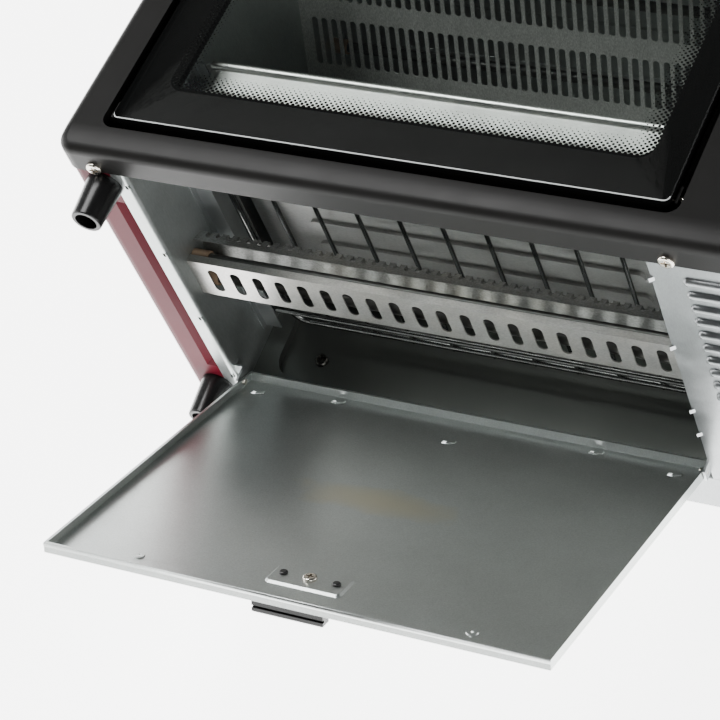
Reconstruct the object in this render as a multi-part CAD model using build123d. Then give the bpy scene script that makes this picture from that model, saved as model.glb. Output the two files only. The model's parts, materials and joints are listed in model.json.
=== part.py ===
from build123d import *

import math
import os

os.makedirs("parts", exist_ok=True)

# The frame: the oven lies on its back. X runs to the oven's right as seen from its front,
# +Y runs to its top, and +Z runs out of its front. All sizes are in millimetres.

# Body box
body_width = 480.0
body_height = 256.0
body_depth = 262.0
frame_depth = 23.0
cover_tuck = 10.0
frame_skirt = 8.0
front_lean = 5.0
corner_radius = 9.0
front_rounding = 6.5
crown_radius = 37.0
crown_start = 15.0

# Sheet thicknesses and gaps
cover_sheet = 0.9
frame_sheet = 1.0
inner_sheet = 0.8
fit_gap = 0.1
sheet_gap = 0.2
running_gap = 0.05
margin = 1.0
tiny = 0.01
hole_cutter = 12.0
sheet_cutter = 4.0
screw_hole = 1.7
foot_screw_hole = 2.1

# Crumb opening and cavity
opening_left = -202.0
opening_width = 320.0
cavity_height = 236.0
cavity_back = 232.0
rear_dish = 6.0
rear_dish_margin = (13.0, 14.0)
rear_dish_radius = 18.0
rear_wall_foot = 9.5
ceiling_rib_backs = (60.0, 110.0, 160.0)
ceiling_rib_radius = 1.6
ceiling_rib_inset = 40.0
spacer_radius = 5.0
base_flange = 9.9
base_bend = 2.8
tab_size = (3.4, 0.8, 3.4)
tab_tilt = 35.0
tab_hole = (-3.6, -2.0)
left_tab_backs = (13.5, 81.0, 149.5, 215.0)
right_tab_backs = (16.9, 83.2, 148.8, 174.2)
left_tab_drop = 0.1
left_tab_inset = 0.6
right_tab_inset = 0.4
right_tab_drop = 0.6
strip_ends = (2.0, 226.0)
strip_lip = 9.0
strip_foot_notch = (28.0, 60.0)
base_panel_backs = (-8.0, 225.7)

# Door seat in the front frame, across from the opening's left edge and up the front
seat_across = (-16.0, 335.5)
seat_up = (16.0, 238.0)
seat_floor = 3.0
seat_radius = 8.0
mouth_margin = 6.0
mouth_up = (34.0, 226.0)

# Vents in the back panel
back_rim = 12.0
vent_rows = 6
vent_first_y = 20.0
vent_pitch = 12.0
vent_x = 165.0
vent_length = 46.0
vent_width = 4.0

# Glass door
glass_across = (-9.5, 330.0)
glass_up = (21.5, 232.5)
glass_thickness = 4.0
glass_proud = 2.6
glass_corner = 4.0
glass_bevel = 0.7
door_frame_inset = 2.5
door_frame_depth = 10.0
door_frame_drop = 1.5
door_frame_radius = 3.0
door_rim_recess = 2.0
window_across = (11.0, 309.0)
window_up = (51.0, 202.0)
window_corner = 10.0
door_pivot_up = 31.0
door_pivot_below_face = 6.5
door_pin_radius = 2.0
door_pin_head = 1.6
door_pin_brim = 1.5
door_pin_end_gap = 0.5
hinge_plate = 1.6
hinge_plate_half = 6.0
hinge_plate_inset = 4.6
hinge_plate_rise = 4.5
handle_up = 217.0
handle_reach = 34.0
handle_length = 250.0
handle_posts_apart = 210.0
handle_half = (7.0, 5.0)
handle_rounding = 4.0
handle_end_rounding = 1.5
handle_socket = 9.0
handle_screw_end = 2.5
handle_screw_hole = 2.2
post_bore = 2.1
post_radius = 6.5
post_taper = 2.0

# Sunk inner part of the cover's flanges, between the feet
sink_width = 7.4
sink_slope_width = 4.4
sink_depth = 3.0
sink_backs = (30.0, 206.0)
sink_end_run = 5.0

# Screws through the cavity's rear wall, as (across, up)
rear_screws = ((40.5, 35.5), (274.5, 84.0), (45.5, 205.0), (274.5, 205.0))

# Cord inlet, low on the back beside the control bay
cord_place = (190.0, -88.0)
cord_hole = 7.0
cord_bore = 4.0
grommet_neck = 5.0
grommet_collar = 2.5
terminal_half = 16.0
terminal_up = (16.0, 32.0)
terminal_depth = 14.0
terminal_pitch = 10.0
terminal_screw_radius = 3.0
terminal_well = 2.5
terminal_slot = (0.8, 5.0, 2.0)

# Control panel
fascia_across = (367.0, 430.0)
fascia_up = (22.0, 236.0)
fascia_proud = 2.4
knob_ups = {"thermostat": 196.0, "selector": 128.0, "timer": 60.0}
knob_radius = 19.0
knob_height = 17.0
knob_lift = 1.0
shaft_radius = 3.0
shaft_flat = 1.6
bush_radius = 5.0
bush_gap = 0.5
lamp_up = 94.0
lamp_radius = 4.0
lamp_dome = 1.6
lamp_behind = 8.0
lamp_brim = 1.5
lamp_rounding = 1.2
fascia_radius = 5.0
fascia_bevel = 0.6
unit_sizes = {"thermostat": (38.0, 34.0), "selector": (34.0, 34.0), "timer": (46.0, 46.0)}
unit_depths = {"thermostat": 26.0, "selector": 32.0, "timer": 30.0}
unit_rounding = 2.0
skirt_height = 4.0
grip_inset = 3.0
grip_taper = 5.0
grip_sunk = 0.5
grip_rounding = 1.6
skirt_rounding = 1.2
pointer_rounding = 1.0
pointer_half = 2.6
pointer_inset = 3.5
pointer_proud = 1.6
shaft_grip_start = 2.0
shaft_end_gap = 4.0

# Crumb door
crumb_across = (7.5, 318.0)
crumb_length = 245.0
crumb_rim = 6.5
crumb_behind_axis = 11.0
crumb_drop = 1.6
crumb_axis_drop = 3.8
crumb_axis_back = 212.2
crumb_open_angle = 57.0
crumb_pin_radius = 1.25
crumb_hem = 1.7
crumb_hem_height = 3.2
crumb_tabs = ((-140, 16), (140, 16), (-87, 8), (87, 8), (0, 31))
crumb_tab_size = (6.4, 0.8, 2.6)
crumb_tab_tilt = 14.0
crumb_tab_lift = 0.6
crumb_tab_hole = 3.6
crumb_tab_hole_offset = -4.0
crumb_bumps = (-103, 103)
crumb_bump_radius = 3.6
crumb_bump_rise = 0.7
crumb_bump_taper = 25.0
crumb_bump_hole = 1.0
crumb_bump_back = 17.0
catch_width = 44.0
catch_pins = 16.5
catch_pin_radius = 2.5
catch_pin_length = 4.6
catch_pin_rounding = 1.0
catch_rounding = 2.0
catch_bevel = 1.2
catch_plate = 4.0
catch_lip = 9.5
catch_lip_depth = 7.0
catch_behind_screw = 11.0
catch_nose_back = 3.0
catch_offset = -1.5
catch_screw_back = 31.0
catch_groove = (6.2, 4.6)
catch_groove_depth = 1.6
pad_size = (49.0, 23.5)
pad_rise = 1.3
pad_corner = 4.0
pin_reach = (2.2, 1.9)
pin_head = (0.8, 1.0)
ear_gap = 0.5
ear_sheet = 1.4
ear_drop = 3.2
ear_half = 5.0
ear_web_up = (3.8, 5.0)
ear_plate = 1.2
ear_top = 9.0

# Feet
foot_across = -17.0
foot_backs = (12.6, 228.0)
foot_length = 28.0
foot_base_radius = 11.0
foot_tip_radius = 9.4
foot_hollow_radius = 6.8
foot_hollow_depth = 19.0
foot_flange = 2.0
foot_rounding = 1.0

# Screws, as head radius, head height, shank radius and shank length
foot_screw = (5.0, 2.6, 2.0, 15.0)
lip_screw = (4.8, 2.5, 1.6, 5.5)
lip_screw_across = (-17.0, 333.0, 421.0)
lip_screw_before = 4.4
cover_screw = (3.6, 2.0, 1.6, 5.0)
cover_screw_z = 7.0
cover_screw_ys = (-80.0, 80.0)
cover_screw_xs = (-120.0, 120.0)
catch_screw = (4.2, 1.9, 1.6, 4.5)
rear_screw_head = (4.4, 2.4, 1.6)
handle_screw_head = (4.4, 2.6, 1.9)
recess_depth = 1.2
recess_reach = 0.55
recess_width = 0.28
head_rounding = 0.6

# Lower guard over the lower heating rods
guard_backs = (101.5, 135.6)
guard_up = 11.0
guard_lip_up = 16.1
guard_slots = 20
guard_slot_pitch = 15.27
guard_slot_length = 22.0
guard_slot_width = 6.6
guard_slot_back = 119.0
roof_front = (97.6, 24.6)
roof_ridge = (101.5, 34.2)
roof_rear = (134.0, 24.6)
roof_slot_pitch = 7.06
roof_slot_length = 6.2
roof_slot_width = 3.6
roof_slot_drop = 2.4
rod_radius = 3.5
lower_rod_up = 19.2
lower_rod_backs = (108.0, 128.0)
upper_rod_up = 222.0
upper_rod_backs = (70.0, 150.0)
insulator_radius = 5.0
insulator_inside = 11.0
insulator_outside = 10.0
insulator_collar = (4.0, 1.5)
rod_overhang = 6.0
rod_pin_overhang = 18.0
rod_pin_radius = 1.2
guard_tail = 3.0

# Upper guard, a sloping slotted sheet under the upper heating rods
upper_guard_front = (36.0, 226.0)
upper_guard_rear = (140.0, 185.0)
upper_guard_lip = 5.0
upper_slot_rows = (68.0, 112.0)
upper_slot_pitch = 6.8
upper_slot_length = 34.0
upper_slot_width = 4.2

# Wire rack and baking tray
rack_up = 53.0
rack_wire_radius = 1.4
rack_frame_radius = 2.6
rack_wires = 9
rack_pitch = 28.07
rack_backs = (14.0, 219.0)
rack_bar_radius = 2.0
rack_bar_backs = (40.0, 205.0)
rack_bar_gap = 2.0
rack_bar_weld = 0.4
rack_corner = 12.0
rack_wire_overhang = 3.5
rail_ends = (14.0, 222.0)
rail_up = (42.0, 102.0)
rack_ledge_reach = 12.0
tray_ledge_reach = 6.5
tray_up = 77.0
tray_depth = 19.0
tray_across = (9.0, 311.0)
tray_backs = (14.0, 216.0)
tray_sheet = 0.8
tray_rim = 6.0
tray_rib_drop = 2.6
tray_rib_length = 222.0
tray_rib_width = 9.0
tray_rib_middle = 158.0
tray_corner = 10.0
tray_roll_radius = 2.4
tray_roll_drop = 1.2
tray_roll_before = 0.8
tray_roll_inset = 4.0
tray_rib_backs = (48.0, 71.0, 94.0, 117.0, 139.0, 162.0, 185.0)

# Thermostat bulb on the cavity's right side
bulb_up = 172.0
bulb_back = 215.0
bulb_backs = (130.0, 205.0)
bulb_radius = 2.4
bulb_tail_radius = 1.0
bulb_inset = 7.0
bulb_outside = 9.0

# Heat shield between the cavity and the controls
shield_gap = 22.0
shield_sheet = 0.6
shield_slots = 5
shield_slot_length = 60.0
shield_slot_width = 6.0
shield_slot_pitch = 26.0
shield_first_slot = 60.0
shield_front_back = 22.0
shield_rear_z = 38.0
shield_shelf_up = 200.0
shield_shelf_back = 60.0

# Base louvres
louvre_count = 10
louvre_pitch = 12.6
louvre_first_back = 14.0
louvre_across = (338.5, 392.0)
louvre_rise = 2.2
louvre_hole = (-1.2, 2.0)

# Values worked out from the sizes above
half_width = body_width / 2
bottom_y = -body_height / 2
top_y = body_height / 2
opening_right = opening_left + opening_width
outer_x = half_width + fit_gap + frame_sheet
lip_y = bottom_y - fit_gap - frame_sheet
crown_y = top_y + fit_gap + frame_sheet
lean = math.radians(front_lean)
face_w = frame_depth * math.cos(lean)
front = Location((0, lip_y, body_depth), (-front_lean, 0, 0))
flange_edge = opening_left - base_flange - sheet_gap
glass_front = face_w + glass_proud
glass_back = glass_front - glass_thickness
door_back = glass_back - door_frame_depth


def across(distance):
    """X of a place measured to the right of the crumb opening's left edge."""
    return opening_left + distance


def up(height):
    """Y of a place measured above the base plane."""
    return bottom_y + height


def back(distance):
    """Z of a place measured behind the front frame's lower edge."""
    return body_depth - distance


def front_z(y, w):
    """Z, at height y, of the leaning plane that stands w before the frame's rear edge."""
    return body_depth + w / math.cos(lean) - (y - lip_y) * math.tan(lean)


def block(x, y, z):
    """Box between two limits on each axis."""
    size = [abs(pair[1] - pair[0]) for pair in (x, y, z)]
    middle = [(pair[0] + pair[1]) / 2 for pair in (x, y, z)]
    return Pos(*middle) * Box(*size)


def rounded_block(x, y, z, radius):
    """Box between limits, with its four edges along Z rounded."""
    middle = [(pair[0] + pair[1]) / 2 for pair in (x, y)]
    outline = Pos(*middle, z[0]) * RectangleRounded(abs(x[1] - x[0]), abs(y[1] - y[0]), radius)
    return extrude(outline, abs(z[1] - z[0]), dir=(0, 0, 1))


def rod(start, end, radius):
    """Round bar between two points."""
    run = Vector(*end) - Vector(*start)
    return Plane(origin=start, z_dir=run) * extrude(Circle(radius), run.length)


def tube(start, end, radius, bore):
    """Round tube between two points."""
    return rod(start, end, radius) - rod(start, end, bore)


def profile_x(points, x):
    """Prism along X from an outline given as (y, z) points."""
    face = Plane.YZ * make_face(Polyline(*points, close=True))
    return Pos(x[0], 0, 0) * extrude(face, x[1] - x[0])


def together(pieces):
    """Separate solids kept as one group."""
    return Compound(children=[solid for piece in pieces for solid in piece.solids()])


def fused(pieces):
    """One solid from touching pieces."""
    total = pieces[0]
    for piece in pieces[1:]:
        total = total + piece
    return total


def pan_head(radius, height, cross):
    """Screw head with a cross recess, standing on Z = 0."""
    head = extrude(Circle(radius), height)
    head = fillet(head.edges().sort_by(Axis.Z)[-1], height * head_rounding)
    reach = (-radius * recess_reach, radius * recess_reach)
    half = (-cross / 2, cross / 2)
    depth = (height - recess_depth, height + margin)
    return head - block(reach, half, depth) - block(half, reach, depth)


def screw(head_radius, head_height, shank_radius, shank_length):
    """Screw whose head stands on Z = 0 and whose shank runs to -Z."""
    head = pan_head(head_radius, head_height, head_radius * recess_width)
    return head + Pos(0, 0, -shank_length) * extrude(Circle(shank_radius), shank_length)


def slot_prism(length, width, depth):
    """Cutter for a round-ended slot along Y, centred on the origin."""
    return extrude(Rot(0, 0, 90) * SlotOverall(length, width), depth / 2, both=True)


# Outer casing


def outer_cover():
    """Painted wrap: top, two sides and two flanges turned in under the base."""
    reach = body_depth + frame_depth
    outer = rounded_block((-half_width, half_width), (bottom_y, top_y), (0, reach), corner_radius)
    inner_x = half_width - cover_sheet
    inner_y = top_y - cover_sheet
    inner = rounded_block(
        (-inner_x, inner_x), (-inner_y, inner_y), (-margin, reach + margin), corner_radius - cover_sheet
    )
    shell = outer - inner
    gap = (flange_edge, -flange_edge)
    shell = shell - block(gap, (bottom_y - margin, 0), (-margin, reach + margin))
    shell = sunk_flange(shell)
    across_all = (-body_width, body_width)
    up_all = (-body_height, 2 * body_height)
    shell = shell - front * block(across_all, up_all, (cover_tuck, body_depth))
    for place in foot_places() + lip_screw_places()[::2]:
        shell = shell - Pos(*place) * Rot(90, 0, 0) * Cylinder(foot_screw_hole, hole_cutter)
    for place, turn in cover_screw_places():
        shell = shell - Pos(*place) * turn * Cylinder(screw_hole, hole_cutter)
    return shell


def flange_sink(rise):
    """Solid that fills the sunk inner part of the left flange, moved up by rise."""
    crease = flange_edge - sink_width
    low = bottom_y + rise
    section = [
        (crease, low),
        (crease + sink_slope_width, low + sink_depth),
        (flange_edge, low + sink_depth),
        (flange_edge, low),
    ]
    ends = [back(distance) for distance in sink_backs]
    length = make_face(Polyline(*section, close=True))
    prism = Pos(0, 0, ends[1]) * extrude(length, ends[0] - ends[1], dir=(0, 0, 1))
    sides = [
        (low, ends[1]),
        (low + sink_depth, ends[1] + sink_end_run),
        (low + sink_depth, ends[0] - sink_end_run),
        (low, ends[0]),
    ]
    return prism & profile_x(sides, (crease, flange_edge))


def sunk_flange(shell):
    """Cover with the inner part of both flanges sunk between the feet."""
    for flip in (False, True):
        body = flange_sink(cover_sheet)
        hollow = flange_sink(0.0)
        if flip:
            body = mirror(body, about=Plane.YZ)
            hollow = mirror(hollow, about=Plane.YZ)
        shell = shell + body - hollow
    return shell


def frame_block(inset, reach):
    """Solid bounded by the front frame's outer surface, moved in by inset."""
    low = lip_y + inset
    high = crown_y - inset
    radius = crown_radius - inset
    centre = (front * Pos(0, crown_start, face_w - crown_radius)).position
    turn = math.asin((centre.Y - low) / radius)
    arc = [
        (centre.Y - radius * math.sin(angle), centre.Z + radius * math.cos(angle))
        for angle in (turn, (turn - lean) / 2, -lean)
    ]
    rear_low = (low, front_z(low, 0) - reach)
    rear_high = (high, front_z(high, 0) - reach)
    front_high = (high, front_z(high, face_w) - inset / math.cos(lean))
    outline = ThreePointArc(*arc) + Polyline(arc[2], front_high, rear_high, rear_low, arc[0])
    limit = outer_x - inset
    body = Pos(-limit, 0, 0) * extrude(Plane.YZ * make_face(outline), 2 * limit)
    body = fillet(body.edges().filter_by(Axis.Z), corner_radius + frame_sheet - inset)
    rim = ShapeList()
    for face in body.faces():
        if face.normal_at().Z > 0.8:
            rim += face.edges().filter_by(lambda edge: abs(edge.center().Y - arc[2][0]) > 1)
    return fillet(rim, front_rounding - inset)


def front_frame():
    """Pressed front with a rounded edge, a sunk seat for the door and holes for the controls."""
    shell = frame_block(0, 0) - frame_block(frame_sheet, frame_skirt)
    x = [across(value) for value in seat_across]
    wider = (x[0] - frame_sheet, x[1] + frame_sheet)
    taller = (seat_up[0] - frame_sheet, seat_up[1] + frame_sheet)
    seat = rounded_block(
        wider, taller, (seat_floor - frame_sheet, face_w - frame_sheet / 2), seat_radius + frame_sheet
    )
    shell = shell + front * seat
    shell = shell - front * rounded_block(x, seat_up, (seat_floor, 2 * face_w), seat_radius)
    mouth = (opening_left + mouth_margin, opening_right - mouth_margin)
    shell = shell - front * rounded_block(mouth, mouth_up, (-margin, 2 * face_w), seat_radius)
    for height in knob_ups.values():
        hole = Cylinder(bush_radius + bush_gap, hole_cutter)
        shell = shell - front * Pos(fascia_middle(), height, face_w) * hole
    lamp_hole = Cylinder(lamp_radius + 2 * fit_gap, hole_cutter)
    shell = shell - front * Pos(fascia_middle(), lamp_up, face_w) * lamp_hole
    for place in lip_screw_places():
        shell = shell - Pos(*place) * Rot(90, 0, 0) * Cylinder(screw_hole, hole_cutter / 2)
    return shell


def fascia_middle():
    """X of the control panel's middle."""
    return across(sum(fascia_across) / 2)


def control_fascia():
    """Gloss panel that carries the knobs."""
    x = [across(value) for value in fascia_across]
    plate = rounded_block(x, fascia_up, (face_w, face_w + fascia_proud), fascia_radius)
    plate = chamfer(plate.faces().sort_by(Axis.Z)[-1].edges(), fascia_bevel)
    for height in knob_ups.values():
        plate = plate - Pos(fascia_middle(), height, face_w) * Cylinder(bush_radius + fit_gap, hole_cutter)
    plate = plate - Pos(fascia_middle(), lamp_up, face_w) * Cylinder(lamp_radius + fit_gap, hole_cutter)
    return front * plate


def back_panel():
    """Flat back with turned edges, vents and the cord inlet."""
    half = half_width - cover_sheet - fit_gap
    tall = top_y - cover_sheet - fit_gap
    radius = corner_radius - cover_sheet
    plate = rounded_block((-half, half), (-tall, tall), (0, back_rim), radius)
    inner = inner_sheet
    x = (inner - half, half - inner)
    y = (inner - tall, tall - inner)
    plate = plate - rounded_block(x, y, (inner, back_rim + margin), radius - inner)
    for row in range(vent_rows):
        for side in (-1, 1):
            place = Pos(side * vent_x, vent_first_y + row * vent_pitch, 0) * Rot(0, 0, 90)
            plate = plate - place * slot_prism(vent_length, vent_width, sheet_cutter)
    plate = plate - Pos(*cord_place, 0) * Cylinder(cord_hole, sheet_cutter)
    for x, y in spacer_places():
        plate = plate - Pos(x, y, 0) * Cylinder(screw_hole, sheet_cutter)
    for place, turn in cover_screw_places():
        plate = plate - Pos(*place) * turn * Cylinder(screw_hole, hole_cutter)
    return plate


def cord_grommet():
    """Flanged rubber ring that lines the cord inlet."""
    neck = extrude(Circle(cord_hole - running_gap), grommet_neck)
    collar = Pos(0, 0, inner_sheet) * extrude(Circle(cord_hole + grommet_collar), grommet_collar)
    ring = neck + collar - Cylinder(cord_bore, 4 * grommet_neck)
    return Pos(*cord_place, 0) * ring


def rear_base_strip():
    """Strip that closes the base behind the crumb door, with an upturned edge."""
    span = (flange_edge + sheet_gap, -flange_edge - sheet_gap)
    ends = (strip_ends[0], back(strip_ends[1]))
    strip = block(span, (bottom_y, bottom_y + inner_sheet), ends)
    lip_span = (opening_left, opening_right)
    lip = block(lip_span, (bottom_y, bottom_y + strip_lip), (ends[1] - inner_sheet, ends[1]))
    foot_clear = block((flange_edge, opening_left), (bottom_y - margin, 0), strip_foot_notch)
    return strip + lip - foot_clear


# Cavity


def wall_outline(low, high):
    """Outline of a cavity side between two heights, ending just behind the door seat."""
    ends = seat_floor - frame_sheet - fit_gap
    return [
        (low, back(cavity_back)),
        (low, front_z(low, ends)),
        (high, front_z(high, ends)),
        (high, back(cavity_back)),
    ]


def side_wall(side):
    """Cavity side with a flange bent outwards at its foot and holes for the heating rods."""
    inner = opening_left if side < 0 else opening_right
    flange_up = bottom_y if side < 0 else bottom_y + inner_sheet
    bend_x = inner + side * base_bend
    bend_y = flange_up + base_bend
    ends = (back(cavity_back), back(-margin))
    wall = profile_x(wall_outline(bend_y, up(cavity_height)), sorted((inner, inner + side * inner_sheet)))
    flange_x = sorted((bend_x, inner + side * base_flange))
    flange = block(flange_x, (flange_up, flange_up + inner_sheet), ends)
    bend = tube((bend_x, bend_y, ends[0]), (bend_x, bend_y, ends[1]), base_bend, base_bend - inner_sheet)
    bend = bend & block(sorted((inner, bend_x)), (flange_up, bend_y), ends)
    wall = fused([wall, bend, flange])
    for height, distance in rod_places():
        y = up(height)
        z = back(distance)
        cut = hole_cutter / 2
        wall = wall - rod((inner - cut, y, z), (inner + cut, y, z), insulator_radius + fit_gap)
    return wall


def left_cavity_wall():
    """Left side of the cavity with tabs pressed out of its bent foot."""
    wall = side_wall(-1)
    tabs = []
    hole_x = [opening_left + offset for offset in tab_hole]
    for distance in left_tab_backs:
        hole_z = (back(distance) - tab_size[2] / 2, back(distance) + tab_size[2] / 2)
        wall = wall - block(hole_x, (bottom_y - margin, bottom_y + 2 * margin), hole_z)
        tabs.append(lance(opening_left - left_tab_inset, distance, -1, left_tab_drop))
    return fused([wall] + tabs)


def lance(x, distance, side, drop):
    """Small tab pressed down out of a base sheet towards the opening."""
    return Pos(x, bottom_y - drop, back(distance)) * Rot(0, 0, side * tab_tilt) * Box(*tab_size)


def right_cavity_wall():
    """Right side of the cavity, between it and the control bay."""
    hole = Cylinder(2 * bulb_tail_radius, sheet_cutter)
    bulb = Pos(opening_right, up(bulb_up), back(bulb_back)) * Rot(0, 90, 0) * hole
    return side_wall(1) - bulb


def cavity_ceiling():
    """Top of the cavity."""
    level = up(cavity_height)
    x = (opening_left - inner_sheet, opening_right + inner_sheet)
    plate = profile_x(wall_outline(level, level + inner_sheet), x)
    ribs = []
    middle = level + inner_sheet / 2
    for distance in ceiling_rib_backs:
        z = back(distance)
        ends = (x[0] + ceiling_rib_inset, x[1] - ceiling_rib_inset)
        ribs.append(rod((ends[0], middle, z), (ends[1], middle, z), ceiling_rib_radius))
    return fused([plate] + ribs)


def cavity_rear_wall():
    """Back of the cavity with a shallow dished panel."""
    rear = back(cavity_back)
    low = (opening_left - inner_sheet, bottom_y)
    high = (opening_right + inner_sheet, up(cavity_height) + inner_sheet)
    plate = block((low[0], high[0]), (low[1] + rear_wall_foot, high[1]), (rear - inner_sheet, rear))
    x = (opening_left + rear_dish_margin[0], opening_right - rear_dish_margin[0])
    y = (bottom_y + rear_dish_margin[1], up(cavity_height) - rear_dish_margin[1])
    depth = (rear - rear_dish - inner_sheet, rear - inner_sheet / 2)
    pan = rounded_block(x, y, depth, rear_dish_radius)
    step = inner_sheet
    inner_x = (x[0] + step, x[1] - step)
    inner_y = (y[0] + step, y[1] - step)
    hollow = rounded_block(inner_x, inner_y, (rear - rear_dish, rear + margin), rear_dish_radius - step)
    wall = plate + pan - hollow
    for place_x, place_y in spacer_places():
        wall = wall - Pos(place_x, place_y, rear - rear_dish) * Cylinder(screw_hole, sheet_cutter)
    return wall


def spacer_places():
    """Centres, as (x, y), of the screws that hold the cavity off the back."""
    return [(across(x), up(y)) for x, y in rear_screws]


def rear_spacers():
    """Tubes between the back panel and the cavity's dished panel."""
    top = back(cavity_back) - rear_dish - inner_sheet
    tubes = [
        tube((x, y, inner_sheet), (x, y, top), spacer_radius, screw_hole) for x, y in spacer_places()
    ]
    return together(tubes)


def rear_wall_screws():
    """Screws seen in the cavity's rear wall."""
    seat = back(cavity_back) - rear_dish
    one = screw(*rear_screw_head, seat - 2 * inner_sheet)
    return together([Pos(x, y, seat) * one for x, y in spacer_places()])


def louvred_base_panel():
    """Fixed base sheet under the control bay, with pressed louvres."""
    x = (opening_right, -flange_edge - sheet_gap)
    ends = (back(base_panel_backs[1]), back(base_panel_backs[0]))
    sheet = block(x, (bottom_y, bottom_y + inner_sheet), ends)
    hoods = []
    holes = []
    louvre_x = [across(value) for value in louvre_across]
    middle = sum(louvre_x) / 2
    length = louvre_x[1] - louvre_x[0]
    for index in range(louvre_count):
        z = back(louvre_first_back + index * louvre_pitch)
        hole_x = (louvre_x[0] + margin, louvre_x[1] - margin)
        hole_z = [z + offset for offset in louvre_hole]
        holes.append(block(hole_x, (bottom_y - margin, bottom_y + 2 * margin), hole_z))
        hoods.append(Pos(middle, bottom_y, z) * Rot(0, 90, 0) * louvre_hood(length))
    edge = opening_right + right_tab_inset
    tabs = [lance(edge, distance, 1, right_tab_drop) for distance in right_tab_backs]
    panel = fused([sheet - Compound(children=holes)] + hoods + tabs)
    for place in lip_screw_places()[1:]:
        panel = panel - Pos(*place) * Rot(90, 0, 0) * Cylinder(screw_hole, hole_cutter / 2)
    return panel


def louvre_hood(length):
    """Scoop of one louvre: a round-ended arched strip, open on one side, along Z before it is turned."""
    rise = louvre_rise + inner_sheet
    straight = length - 2 * rise
    arch = capsule(rise, straight) - capsule(louvre_rise, straight)
    lower = Pos(0, rise, 0) * Box(3 * rise, 2 * rise, length + 2 * margin)
    mouth = Pos(rise, -rise, 0) * Box(2 * rise, 2 * rise, straight)
    return arch - lower - mouth


def capsule(radius, straight):
    """Round-ended bar along Z."""
    ends = [Pos(0, 0, side * straight / 2) * Sphere(radius) for side in (-1, 1)]
    return fused([Cylinder(radius, straight)] + ends)


def heat_shield():
    """Sheet between the cavity's right side and the controls."""
    x = opening_right + shield_gap
    y = (bottom_y + 2 * margin, up(cavity_height) - 4 * margin)
    plate = block((x, x + shield_sheet), y, (shield_rear_z, back(shield_front_back)))
    for row in range(shield_slots):
        place = Pos(x, up(shield_first_slot + row * shield_slot_pitch), body_depth / 2)
        slot = slot_prism(shield_slot_length, shield_slot_width, sheet_cutter)
        plate = plate - place * Rot(90, 0, 90) * slot
    level = up(shield_shelf_up)
    shelf_z = (shield_rear_z + margin, back(shield_shelf_back))
    return plate + block((opening_right + inner_sheet, x), (level, level + inner_sheet), shelf_z)


# Heating


def rod_places():
    """Heights and distances back of the heating rods."""
    lower = [(lower_rod_up, distance) for distance in lower_rod_backs]
    upper = [(upper_rod_up, distance) for distance in upper_rod_backs]
    return lower + upper


def heating_rods(height, distances):
    """Two straight heating rods with their end pins."""
    pieces = []
    for distance in distances:
        y = up(height)
        z = back(distance)
        sheath_x = (opening_left - rod_overhang, opening_right + rod_overhang)
        pin_x = (opening_left - rod_pin_overhang, opening_right + rod_pin_overhang)
        sheath = rod((sheath_x[0], y, z), (sheath_x[1], y, z), rod_radius)
        pins = rod((pin_x[0], y, z), (pin_x[1], y, z), rod_pin_radius)
        pieces.append(sheath + pins)
    return together(pieces)


def element_insulators():
    """Ceramic sleeves that carry the heating rods through the side walls."""
    pieces = []
    bore = rod_radius + running_gap
    for height, distance in rod_places():
        for x, side in ((opening_left, -1), (opening_right, 1)):
            y = up(height)
            z = back(distance)
            outside = x + side * insulator_outside
            inside = x - side * insulator_inside
            sleeve = tube((inside, y, z), (outside, y, z), insulator_radius, bore)
            near = (x + side * (inner_sheet + fit_gap), y, z)
            far = (x + side * insulator_collar[0], y, z)
            collar = tube(near, far, insulator_radius + insulator_collar[1], insulator_radius)
            pieces.append(sleeve + collar)
    return together(pieces)


def lower_guard():
    """Slotted angle that keeps crumbs and fingers off the lower rods."""
    span = (opening_left, opening_right)
    level = up(guard_up)
    z = (back(guard_backs[1]), back(guard_backs[0]))
    sheet = block(span, (level, level + inner_sheet), z)
    lip = block(span, (level, up(guard_lip_up)), (z[1] - inner_sheet, z[1]))
    tail = block(span, (level, level + guard_tail), (z[0], z[0] + inner_sheet))
    guard = sheet + lip + tail
    middle = (opening_left + opening_right) / 2
    for index in range(guard_slots):
        x = middle + (index - (guard_slots - 1) / 2) * guard_slot_pitch
        cutter = Pos(x, level, back(guard_slot_back)) * Rot(90, 0, 0)
        guard = guard - cutter * slot_prism(guard_slot_length, guard_slot_width, sheet_cutter)
    return guard


def sloped_sheet(first, second, thickness):
    """Strip along X between two (back, up) places, thickened upwards."""
    points = [
        (up(first[1]), back(first[0])),
        (up(second[1]), back(second[0])),
        (up(second[1]) + thickness, back(second[0])),
        (up(first[1]) + thickness, back(first[0])),
    ]
    return profile_x(points, (opening_left, opening_right))


def lower_guard_roof():
    """Folded hood over the lower rods, pierced along its ridge."""
    points = [
        (up(roof_front[1]), back(roof_front[0])),
        (up(roof_ridge[1]), back(roof_ridge[0])),
        (up(roof_rear[1]), back(roof_rear[0])),
    ]
    step = inner_sheet
    inner = [
        (points[2][0] - step * 1.1, points[2][1]),
        (points[1][0] - step * 2.1, points[1][1] - step * 0.7),
        (points[0][0], points[0][1] - step * 1.1),
    ]
    hood = profile_x(points + inner, (opening_left, opening_right))
    run = roof_ridge[0] - roof_front[0]
    fall = roof_ridge[1] - roof_front[1]
    slope = math.atan2(run, fall)
    slot_y = up(roof_ridge[1] - roof_slot_drop * math.cos(slope))
    slot_z = back(roof_ridge[0] - roof_slot_drop * math.sin(slope))
    count = int(opening_width / roof_slot_pitch) - 1
    cutters = []
    for index in range(count):
        x = opening_left + (index + 1) * roof_slot_pitch
        cutter = Pos(x, slot_y, slot_z) * Rot(-math.degrees(slope), 0, 0)
        cutters.append(cutter * slot_prism(roof_slot_length, roof_slot_width, sheet_cutter))
    return hood - Compound(children=cutters)


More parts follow.
